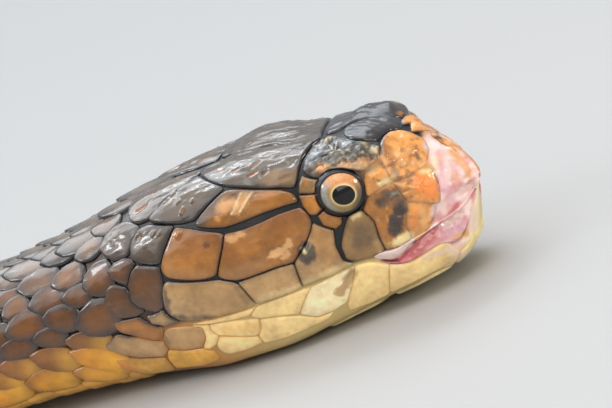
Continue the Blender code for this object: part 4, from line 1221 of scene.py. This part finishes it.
# Mouth lines in photo pixels, from the rear forwards
mouthLines = {
    "upper": [(355, 263), (369, 259.5), (384, 254.8), (397, 250.8), (408, 245.4), (414.6, 240), (424, 234.7),
              (431, 229.3), (440, 222), (447, 218), (453.4, 214.6), (459, 208.5), (468, 201)],
    "crease": [(355, 264), (370, 260.2), (384, 262.3), (392, 263), (401, 258.8), (408, 251), (414.6, 243.5),
               (424, 236.5), (431, 231), (440, 223.5), (453, 216), (468, 202.5)],
    "lower": [(355, 265.5), (370, 261.6), (384, 263.6), (392, 264.8), (404, 264.3), (417, 261), (431, 252),
              (437.4, 247), (450.7, 244.5), (461, 243)],
}
mouthLines = {name: fromPhoto(pixels) for name, pixels in mouthLines.items()}
scarEdge = fromPhoto([(424, 140), (428, 150), (428, 160), (433, 168), (438, 178), (440, 195), (438, 208),
                      (433, 222), (424, 235)])
scarEdge = scarEdge[np.argsort(scarEdge[:, 1])]


def mouthAt(name, t):
    # girth of a line of the mouth at distance t, smoothed
    line = mouthLines[name][np.argsort(mouthLines[name][:, 0])]
    root = np.sqrt(np.maximum(t, 0))
    total = 0
    for offset in (-0.2, -0.1, 0, 0.1, 0.2):
        total = total + np.interp(root + offset, np.sqrt(line[:, 0]), line[:, 1])
    return total / 5


def scarAmount(t, girth):
    # the healed wound over the snout's tip, on the right side and a little past the middle
    edge = np.interp(girth, scarEdge[:, 1], scarEdge[:, 0], left=scarEdge[0, 0], right=scarEdge[-1, 0])
    ragged = 0.5 * softNoise(np.stack([t, girth * 3, 0 * t], -1), 1.4, 50)
    return between(0.5, -0.4, t - edge + ragged) * between(-1.5, -0.7, girth) * between(8.8, 7.4, girth)


skinFinish = {"under": 0.42, "snoutFill": 0.40, "mouthDepth": 1.7, "scarRise": 0.15, "around": 232}


def skinShape(t, girth):
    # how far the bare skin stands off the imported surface, in mm, and its colour
    side = sideGirth(girth)
    signed = (girth + 8) % 16 - 8
    ground = onSkin(t, girth)
    p = ground / mm
    right = signed > 0
    scar = scarAmount(t, np.where(girth > 12, girth - 16, girth))
    fill = snoutPart(t, girth) * between(20, 14, t) * (1 - scar)
    rise = -skinFinish["under"] + skinFinish["snoutFill"] * fill
    lumps = 0.26 * softNoise(p, (1.6, 2.6, 1.3), 51) + 0.13 * softNoise(p, 0.8, 52)
    lumps = lumps + formHeight(ground, scarForms)
    onJaw = between(0.0, 0.4, side - mouthAt("lower", t))
    rise = rise + scar * (skinFinish["scarRise"] + lumps) * (1 - 0.6 * onJaw)
    inMouth = between(-0.06, 0.05, side - mouthAt("upper", t))
    inMouth = inMouth * between(0.05, -0.06, side - mouthAt("lower", t)) * between(21, 18, t)
    rise = rise - skinFinish["mouthDepth"] * inMouth * between(0.5, 2.5, t)
    seam, _ = seamTint(t, girth)
    # bare skin takes the seam colour darkened further: partly its own dark colour, partly painted shade in
    # the gaps between shields
    tint = seam * (0.6 + 0.35 * jawPart(t, girth))[..., None]
    face = shieldTint(ground, right, t, girth, "orange")
    tint = mixed(tint, face * 0.85, 0.85 * between(17.5, 14, t) * snoutPart(t, girth))
    # under the neck and body scales the skin takes the body's markings darkened: painted shade under the
    # scales
    tint = mixed(tint, bodyTint(t, girth, ground) * 0.35, between(52, 80, t))
    pinks = mixed(shade("pink"), shade("palePink"), between(-0.4, 0.6, softNoise(p, (1.8, 3, 1.4), 53)))
    pinks = mixed(pinks, shade("peach"), 0.5 * between(0.1, 0.7, softNoise(p, 3.2, 54)))
    pinks = mixed(pinks, shade("rose"), 0.4 * between(0.25, 0.75, softNoise(p, (0.9, 2.4, 0.9), 55)))
    lowPart = np.maximum(onJaw * between(1.5, 5, t), between(5.9, 6.8, side))
    pinks = mixed(pinks, shade("paleCream"), 0.8 * lowPart)
    pinks = paint(ground, pinks, mouthMarks, 0.4)
    tint = mixed(tint, pinks, scar)
    # the mouth's sunken slit is painted deep rose: partly its own colour, partly painted shade
    return rise, mixed(tint, shade("deepRose"), inMouth * between(4.2, 5.2, t + 2))


def makeSkin(materials):
    around = skinFinish["around"]
    even = np.linspace(0, 16, around, endpoint=False)
    density = 1 + 1.6 * np.exp(-((even - 5.2) / 0.7) ** 2) + 1.6 * np.exp(-((even - 10.8) / 0.7) ** 2)
    run = np.concatenate([[0], np.cumsum(density)])
    girths = np.interp(np.linspace(0, run[-1], around, endpoint=False), run, np.append(even, 16))
    stations = np.concatenate([np.linspace(math.sqrt(0.06), math.sqrt(24), 100) ** 2,
                               np.arange(24.5, 75, 0.75), np.arange(76, 236, 3.2),
                               np.arange(240, 2988, 14.0), [2992, 2996, 2998.5, 2999.5]])
    t, girth = np.meshgrid(stations, girths, indexing="ij")
    rise, tint = skinShape(t, girth)
    rise = rise * np.interp(t, (0, 2800, 3000), (1, 0.7, 0.1))
    points = overEye(onSkin(t, girth, rise), -0.45)
    tips = np.array([onSkin(0.0, 0.0), onSkin(form["totalLength"], 0.0)])
    size = t.size
    first = np.arange(around)
    last = first + size - around
    front = np.stack([np.full(around, size), np.roll(first, -1), first], -1)
    rear = np.stack([np.full(around, size + 1), last, np.roll(last, -1)], -1)
    tint = np.concatenate([tint.reshape(-1, 3), [shade("palePink"), shade("tailDark")]])
    place = np.stack([headMap(t, girth)[..., 0], 0.02 + 0.96 * np.sqrt(t / 3000)], -1).reshape(-1, 2)
    heap = Heap()
    heap.add(np.concatenate([points.reshape(-1, 3), tips]), tint,
             np.concatenate([place, [[0.5, 0.01], [0.5, 0.99]]]),
             [gridQuads(len(stations), around, closed=True), front, rear])
    skin = heap.make("skin", materials["skin"])
    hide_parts(*fleshNodes)
    return skin


# The gum that bulges between the lips at the front, as a net between the upper and the lower lip line
gumShape = {"lip": 0.25, "crease": -1.3, "gum": 0.05, "upperMargin": 0.10, "lowerMargin": 0.04, "tuck": 1.0,
            "thickness": 1.5}


def makeGum(materials):
    heap = Heap()
    stations = np.linspace(math.sqrt(1.2), math.sqrt(21), 130) ** 2
    t, f = np.meshgrid(stations, np.linspace(0, 1, 45), indexing="ij")
    upper = mouthAt("upper", t) - gumShape["upperMargin"]
    lower = mouthAt("lower", t) + gumShape["lowerMargin"]
    crease = np.clip((mouthAt("crease", t) - upper) / (lower - upper), 0.2, 0.75)
    girth = upper + (lower - upper) * f
    width = (lower - upper) * girthLength(t, (lower + upper) / 2)
    above = f < crease
    across = np.where(above, f / crease, (f - crease) / (1 - crease))
    fill = np.clip(width / 4, 0, 1)
    lipTop = gumShape["lip"] - (gumShape["lip"] - gumShape["crease"]) * across ** 3
    gumTop = gumShape["crease"] + (gumShape["gum"] - gumShape["crease"]) * (1 - (1 - across) ** 2.4)
    edges = between(0, 0.06, f) * between(1, 0.94, f)
    height = fill * np.where(above, lipTop, gumTop) + 0.35 * (fill - 1) - 0.6 * (1 - edges)
    height = height - gumShape["tuck"] * between(0.78, 1.0, f) * between(2, 6, t)
    height = height * between(0.2, 2.4, t)
    top = gridQuads(*t.shape)[:, ::-1]
    rim = gridRim(*t.shape)
    count = t.size
    wall = np.stack([rim, np.roll(rim, -1), np.roll(rim, -1) + count, rim + count], -1)
    for side in (1, -1):
        ground = onSkin(t, girth * side)
        p = ground / mm
        folds = (0.15 * softNoise(p, (2.6, 1.0, 0.8), 61) + 0.07 * softNoise(p, 0.6, 62)) * edges
        points = onSkin(t, girth * side, height + folds)
        back = onSkin(t, girth * side, height - gumShape["thickness"] * between(0.5, 3, t) - 0.1)
        tint = mixed(shade("rose"), shade("pink"), between(0.1, 0.8, across + 0.3 * softNoise(p, 1.6, 63)))
        tint = np.where(above[..., None], shade("palePink"), tint)
        # deep rose along the gum's crease: partly the tissue's own colour, partly painted shade in the groove
        dark = between(0.10, 0.02, np.abs(f - crease)) * between(3, 8, t) * 0.8
        tint = mixed(tint, shade("deepRose"), dark)
        twin = ground if side > 0 else mirrored(ground)
        tint = paint(twin, tint, mouthMarks, 0.4)
        faces = np.concatenate([top, top[:, ::-1] + count, wall])
        if side < 0:
            faces = faces[:, ::-1]
        place = headMap(t, girth * side).reshape(-1, 2)
        heap.add(np.concatenate([points.reshape(-1, 3), back.reshape(-1, 3)]),
                 np.tile(tint.reshape(-1, 3), (2, 1)), np.concatenate([place, place]),
                 [faces[:len(top)]], [faces[len(top):]])
    return heap.make("gum", materials["gum"])


def turnedShape(side, angles, radii, spins):
    # points of a form turned round an eye's axis; angles may change round it
    forward, level, upright = eyeAxes(side)
    way = (np.sin(angles)[..., None] * (np.cos(spins)[..., None] * level + np.sin(spins)[..., None] * upright)
           + np.cos(angles)[..., None] * forward)
    return eyeBalls[side] + way * np.asarray(radii)[..., None] * mm


def irisTint(degrees, spin):
    shape = eyeShape
    fibre = np.stack([np.cos(spin) * 9, np.sin(spin) * 9, degrees / 12], -1)
    streak = softNoise(fibre, 0.8, 71) * 0.6 + softNoise(fibre, 0.35, 72) * 0.4
    reach = np.sin(np.radians(degrees)) / math.sin(math.radians(shape["opening"]))
    height, across = reach * np.sin(spin), reach * np.cos(spin)
    iris = mixed(shade("irisLow"), shade("irisHigh"), between(-0.1, 0.6, height + 0.15 * streak))
    silver = between(26, 35, degrees) * (0.75 + 0.25 * streak) * between(0.8, 0.1, height)
    iris = mixed(iris, shade("irisSilver"), np.clip(0.9 * silver * between(0.0, -0.6, across), 0, 1))
    iris = mixed(iris, shade("irisShadow"), np.clip(silver * between(0.35, 0.75, across), 0, 1))
    # painted shade: the iris darker towards its lower rim
    iris = mixed(iris, shade("irisRimShade"), 0.6 * between(34, 45, degrees) * between(0.2, -0.8, height))
    iris = iris * (1 + 0.22 * streak)[..., None]
    sideways = degrees * np.cos(spin) - shape["pupilShift"][0]
    upwards = degrees * np.sin(spin) - shape["pupilShift"][1]
    edge = shape["pupil"] + shape["pupilWider"] * np.cos(2 * np.arctan2(upwards, sideways))
    away = np.hypot(sideways, upwards) - edge
    glow = between(shape["ring"] + 4.5, shape["ring"] - 3.5, away + streak)
    iris = mixed(iris, shade("pupilRing"), 0.85 * glow)
    iris = mixed(iris, shade("pupil"), between(0.7, -0.2, away))
    return mixed(iris, shade("eyeEdge"), between(shape["iris"], shape["iris"] + 6, degrees + 0.8 * across))


def makeEyes(materials):
    pieces = []
    angles = np.concatenate([[0.05], np.linspace(1.5, 12, 8), np.linspace(12.5, 50, 84),
                             np.linspace(52, 60, 5), np.linspace(65, 179.9, 18)])
    around = eyeShape["around"]
    spins = np.linspace(0, 2 * math.pi, around, endpoint=False)
    polar, spin = np.meshgrid(np.radians(angles), spins, indexing="ij")
    lidAngles = np.array([-1.6, -0.4, 0.6, 1.8, 3.2, 4.6, 6.0, 7.6, 6.6, 3.0, -0.5])
    lidHeights = np.array([-0.30, 0.01, 0.11, 0.17, 0.19, 0.16, 0.04, -0.35, -0.9, -1.2, -0.9])
    for side, name in ((1, "Right"), (-1, "Left")):
        points = turnedShape(side, polar, np.full(polar.shape, eyeShape["radius"]), spin)
        degrees = np.degrees(polar)
        tint = irisTint(degrees, spin)
        quads = gridQuads(*polar.shape, closed=True)[:, ::-1]
        caps = [np.arange(around)[None], (np.arange(around) + polar.size - around)[::-1][None]]
        if side < 0:
            quads, caps = quads[:, ::-1], [cap[:, ::-1] for cap in caps]
        spread = 0.47 * degrees / 180
        place = np.stack([0.5 + spread * np.cos(spin), 0.5 + spread * np.sin(spin)], -1)
        heap = Heap()
        heap.add(points.reshape(-1, 3), tint.reshape(-1, 3), place.reshape(-1, 2), [quads] + caps)
        eye = heap.make("eye" + name, materials["eye"])
        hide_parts("eye_right" if side > 0 else "eye_left")
        pieces.append((eye, "eye"))
        # the dark rim of skin round the eyeball, a closed ring
        ringSpin, index = np.meshgrid(spins, np.arange(len(lidAngles)), indexing="ij")
        opening = eyeShape["opening"] + eyeShape["flatten"] * np.cos(2 * ringSpin)
        waver = np.stack([np.cos(ringSpin) * 6, np.sin(ringSpin) * 6, index * 0.8], -1)
        wobble = 0.03 * softNoise(waver, 1.0, 81)
        angle = np.radians(opening + lidAngles[index])
        points = turnedShape(side, angle, eyeShape["radius"] + lidHeights[index] + wobble, ringSpin)
        rows, columns = ringSpin.shape
        grid = np.arange(rows * columns).reshape(rows, columns)
        ahead = np.roll(grid, -1, 0)
        quads = np.stack([grid, np.roll(grid, -1, 1), np.roll(ahead, -1, 1), ahead], -1).reshape(-1, 4)
        if side < 0:
            quads = quads[:, ::-1]
        tint = shade("seam") * (0.5 + 0.3 * wobble / 0.03)[..., None]
        place = np.stack([0.05 + 0.9 * ringSpin / 6.3, 0.05 + 0.9 * index / columns], -1)
        heap = Heap()
        heap.add(points.reshape(-1, 3), tint.reshape(-1, 3), place.reshape(-1, 2), [quads])
        pieces.append((heap.make("eyeRim" + name, materials["skin"]), "head_shields"))
    return pieces


# Shader groups
def newGroup(name, inputs, outputs):
    group = bpy.data.node_groups.new(name, "ShaderNodeTree")
    for kind, socket, value in inputs:
        made = group.interface.new_socket(name=socket, in_out="INPUT", socket_type=kind)
        if value is not None:
            made.default_value = value
    for kind, socket in outputs:
        group.interface.new_socket(name=socket, in_out="OUTPUT", socket_type=kind)
    return group, group.nodes.new("NodeGroupInput"), group.nodes.new("NodeGroupOutput")


def mathNode(nodes, links, kind, a, b):
    node = nodes.new("ShaderNodeMath")
    node.operation = kind
    for socket, value in zip(node.inputs, (a, b)):
        if isinstance(value, (int, float)):
            socket.default_value = value
        else:
            links.new(value, socket)
    return node.outputs[0]


# Fine grain: layers and broad tone as noise scale and detail, and how strong the finer layer is
grainShape = {"stretch": (0.45, 1.0, 1.0), "layers": ((900.0, 3.0), (3200.0, 2.0)), "fineShare": 0.35,
              "broad": (260.0, 4.0)}


def makeScaleGrain():
    # fine wrinkles and pores: a height for bump, and a tone that varies over the surface
    group, given, out = newGroup("scaleGrain", [("NodeSocketFloat", "Size", 1.0)],
                                 [("NodeSocketFloat", "Height"), ("NodeSocketFloat", "Tone")])
    nodes, links = group.nodes, group.links
    place = nodes.new("ShaderNodeTexCoord")
    stretch = nodes.new("ShaderNodeMapping")
    stretch.inputs["Scale"].default_value = grainShape["stretch"]
    links.new(place.outputs["Object"], stretch.inputs["Vector"])
    heights = []
    for scale, detail in grainShape["layers"]:
        noise = nodes.new("ShaderNodeTexNoise")
        noise.inputs["Detail"].default_value = detail
        links.new(mathNode(nodes, links, "MULTIPLY", given.outputs["Size"], scale), noise.inputs["Scale"])
        links.new(stretch.outputs["Vector"], noise.inputs["Vector"])
        heights.append(noise.outputs["Fac"])
    fine = mathNode(nodes, links, "MULTIPLY", heights[1], grainShape["fineShare"])
    links.new(mathNode(nodes, links, "ADD", heights[0], fine), out.inputs["Height"])
    broad = nodes.new("ShaderNodeTexNoise")
    broad.inputs["Scale"].default_value, broad.inputs["Detail"].default_value = grainShape["broad"]
    links.new(place.outputs["Object"], broad.inputs["Vector"])
    links.new(broad.outputs["Fac"], out.inputs["Tone"])
    return group


def makeMottle():
    # varies a colour's brightness by a tone
    inputs = [("NodeSocketColor", "Colour", None), ("NodeSocketFloat", "Tone", 0.5),
              ("NodeSocketFloat", "Amount", 0.3)]
    group, given, out = newGroup("mottle", inputs, [("NodeSocketColor", "Colour")])
    nodes, links = group.nodes, group.links
    low = mathNode(nodes, links, "SUBTRACT", given.outputs["Tone"], 0.5)
    bright = mathNode(nodes, links, "MULTIPLY", low, given.outputs["Amount"])
    value = mathNode(nodes, links, "ADD", bright, 1.0)
    tone = nodes.new("ShaderNodeVectorMath")
    tone.operation = "SCALE"
    links.new(given.outputs["Colour"], tone.inputs[0])
    links.new(value, tone.inputs["Scale"])
    links.new(tone.outputs["Vector"], out.inputs["Colour"])
    return group


finishes = {
    "shield": {"roughness": (0.16, 0.36), "coat": 0.55, "coatRoughness": 0.08, "grain": 1.0, "bump": 0.14,
               "mottle": 0.8, "soft": 0.02},
    "jaw": {"roughness": (0.30, 0.5), "coat": 0.25, "coatRoughness": 0.2, "grain": 1.2, "bump": 0.08,
            "mottle": 0.3, "soft": 0.10},
    "scale": {"roughness": (0.18, 0.38), "coat": 0.5, "coatRoughness": 0.09, "grain": 0.8, "bump": 0.14,
              "mottle": 0.8, "soft": 0.02},
    "skin": {"roughness": (0.34, 0.55), "coat": 0.22, "coatRoughness": 0.16, "grain": 1.6, "bump": 0.22,
             "mottle": 0.4, "soft": 0.08},
    "gum": {"roughness": (0.20, 0.36), "coat": 0.8, "coatRoughness": 0.06, "grain": 1.4, "bump": 0.12,
            "mottle": 0.35, "soft": 0.15},
    "eye": {"roughness": (0.35, 0.4), "coat": 1.0, "coatRoughness": 0.01, "grain": 2.0, "bump": 0.0,
            "mottle": 0.1, "soft": 0.0, "specular": 0.1, "coatIor": 1.42},
}
# the same in every finish; depths in metres
surface = {"toneRange": (0.35, 0.65), "softDepth": 0.0015, "softReach": (1.0, 0.4, 0.25), "bumpDepth": 0.0004}


def makeMaterials():
    grain, mottle = makeScaleGrain(), makeMottle()
    made = {}
    for name, finish in finishes.items():
        material = bpy.data.materials.new(name + "Finish")
        material.use_nodes = True
        nodes, links = material.node_tree.nodes, material.node_tree.links
        shader = nodes["Principled BSDF"]
        tint = nodes.new("ShaderNodeAttribute")
        tint.attribute_name = "tint"
        detail = nodes.new("ShaderNodeGroup")
        detail.node_tree = grain
        detail.inputs["Size"].default_value = finish["grain"]
        tone = nodes.new("ShaderNodeGroup")
        tone.node_tree = mottle
        tone.inputs["Amount"].default_value = finish["mottle"]
        links.new(tint.outputs["Color"], tone.inputs["Colour"])
        links.new(detail.outputs["Tone"], tone.inputs["Tone"])
        links.new(tone.outputs["Colour"], shader.inputs["Base Color"])
        spread = nodes.new("ShaderNodeMapRange")
        for end, span in (("From", surface["toneRange"]), ("To", finish["roughness"])):
            spread.inputs[end + " Min"].default_value, spread.inputs[end + " Max"].default_value = span
        links.new(detail.outputs["Tone"], spread.inputs["Value"])
        links.new(spread.outputs["Result"], shader.inputs["Roughness"])
        shader.inputs["Coat Weight"].default_value = finish["coat"]
        shader.inputs["Coat Roughness"].default_value = finish["coatRoughness"]
        shader.inputs["Coat IOR"].default_value = finish.get("coatIor", 1.5)
        shader.inputs["Specular IOR Level"].default_value = finish.get("specular", 0.5)
        if finish["soft"]:
            shader.inputs["Subsurface Weight"].default_value = finish["soft"]
            shader.inputs["Subsurface Scale"].default_value = surface["softDepth"]
            shader.inputs["Subsurface Radius"].default_value = surface["softReach"]
        if finish["bump"]:
            bump = nodes.new("ShaderNodeBump")
            bump.inputs["Strength"].default_value = finish["bump"]
            bump.inputs["Distance"].default_value = surface["bumpDepth"]
            links.new(detail.outputs["Height"], bump.inputs["Height"])
            links.new(bump.outputs["Normal"], shader.inputs["Normal"])
        made[name] = material
    return made


# Floor, light and view
studio = {
    "floor": (0.40, 0.395, 0.39),
    "floorReach": 9.0,         # metres from the middle to each edge
    "floorDark": 0.97,         # the darker mottles, as a share of the colour
    "floorMottle": 6.0,
    "floorRoughness": 0.6,
    "air": (0.88, 0.92, 0.97),
    "airStrength": 0.44,
    "exposure": 0.0,
}
# place relative to the head (right, up, towards the camera), size, strength in watts, colour
lamps = {
    "roomPanel": ((-1.0, 2.3, -0.3), (4.5, 4.0), 75, (0.96, 0.98, 1.0)),
    "skyPanel": ((-0.10, 0.90, -0.75), (1.5, 0.75), 7.5, (0.86, 0.93, 1.0)),
    "skySpot": ((-0.15, 0.85, -0.55), (0.5, 0.10), 1.6, (0.90, 0.95, 1.0)),
    "frontPanel": ((0.20, 0.80, 0.25), (0.7, 0.5), 2.4, (1.0, 0.98, 0.94)),
    "jawFill": ((0.15, 0.36, 0.80), (0.9, 0.3), 2.4, (1.0, 0.90, 0.72)),
    "windowRight": ((0.46, 0.085, 0.17), (0.11, 0.09), 0.7, (1.0, 0.97, 0.93)),
    "windowLeft": ((-0.491, 0.345, -0.016), (0.1, 0.1), 0.5, (0.92, 0.96, 1.0)),
}


def makeStudio():
    mesh = bpy.data.meshes.new("floor")
    s = studio["floorReach"]
    mesh.from_pydata([(-s, -s, 0), (s, -s, 0), (s, s, 0), (-s, s, 0)], [], [(0, 1, 2, 3)])
    floor = bpy.data.objects.new("floor", mesh)
    bpy.context.scene.collection.objects.link(floor)
    material = bpy.data.materials.new("floorFinish")
    material.use_nodes = True
    nodes, links = material.node_tree.nodes, material.node_tree.links
    shader = nodes["Principled BSDF"]
    noise = nodes.new("ShaderNodeTexNoise")
    noise.inputs["Scale"].default_value = studio["floorMottle"]
    ramp = nodes.new("ShaderNodeValToRGB")
    ramp.color_ramp.elements[0].color = (*[c * studio["floorDark"] for c in studio["floor"]], 1)
    ramp.color_ramp.elements[1].color = (*studio["floor"], 1)
    links.new(noise.outputs["Fac"], ramp.inputs["Fac"])
    links.new(ramp.outputs["Color"], shader.inputs["Base Color"])
    shader.inputs["Roughness"].default_value = studio["floorRoughness"]
    mesh.materials.append(material)
    world = bpy.data.worlds.new("studioAir")
    bpy.context.scene.world = world
    world.use_nodes = True
    background = world.node_tree.nodes["Background"]
    background.inputs["Color"].default_value = (*studio["air"], 1)
    background.inputs["Strength"].default_value = studio["airStrength"]
    head = Vector(onSkin(30.0, 1.0))
    for name, (place, size, power, colour) in lamps.items():
        data = bpy.data.lights.new(name, "AREA")
        data.shape = "RECTANGLE"
        data.size, data.size_y = size
        data.energy = power
        data.color = colour
        lamp = bpy.data.objects.new(name, data)
        bpy.context.scene.collection.objects.link(lamp)
        lamp.visible_camera = False
        level = Vector((math.cos(cameraSetup["azimuth"]), math.sin(cameraSetup["azimuth"]), 0))
        away = Vector((-level.y, level.x, 0))
        lamp.location = head + level * place[0] + Vector((0, 0, place[1])) - away * place[2]
        lamp.rotation_mode = "QUATERNION"
        lamp.rotation_quaternion = (lamp.location - head).to_track_quat("Z", "Y")
    view = bpy.context.scene.view_settings
    view.view_transform = "Standard"
    view.look = "None"
    view.exposure = studio["exposure"]


makeCamera()
makeStudio()
materials = makeMaterials()
print("camera, studio and materials made")
pieces = [(makeSkin(materials), "neck_scales")]
pieces += makeHeadShields(materials)
print("head shields made")
pieces += makeBodyScales(materials)
pieces.append((makeVentrals(materials), "body_scales"))
print("body scales made")
pieces.append((makeGum(materials), "gum"))
pieces += makeEyes(materials)
for piece, slotName in pieces:
    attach(piece, "root")
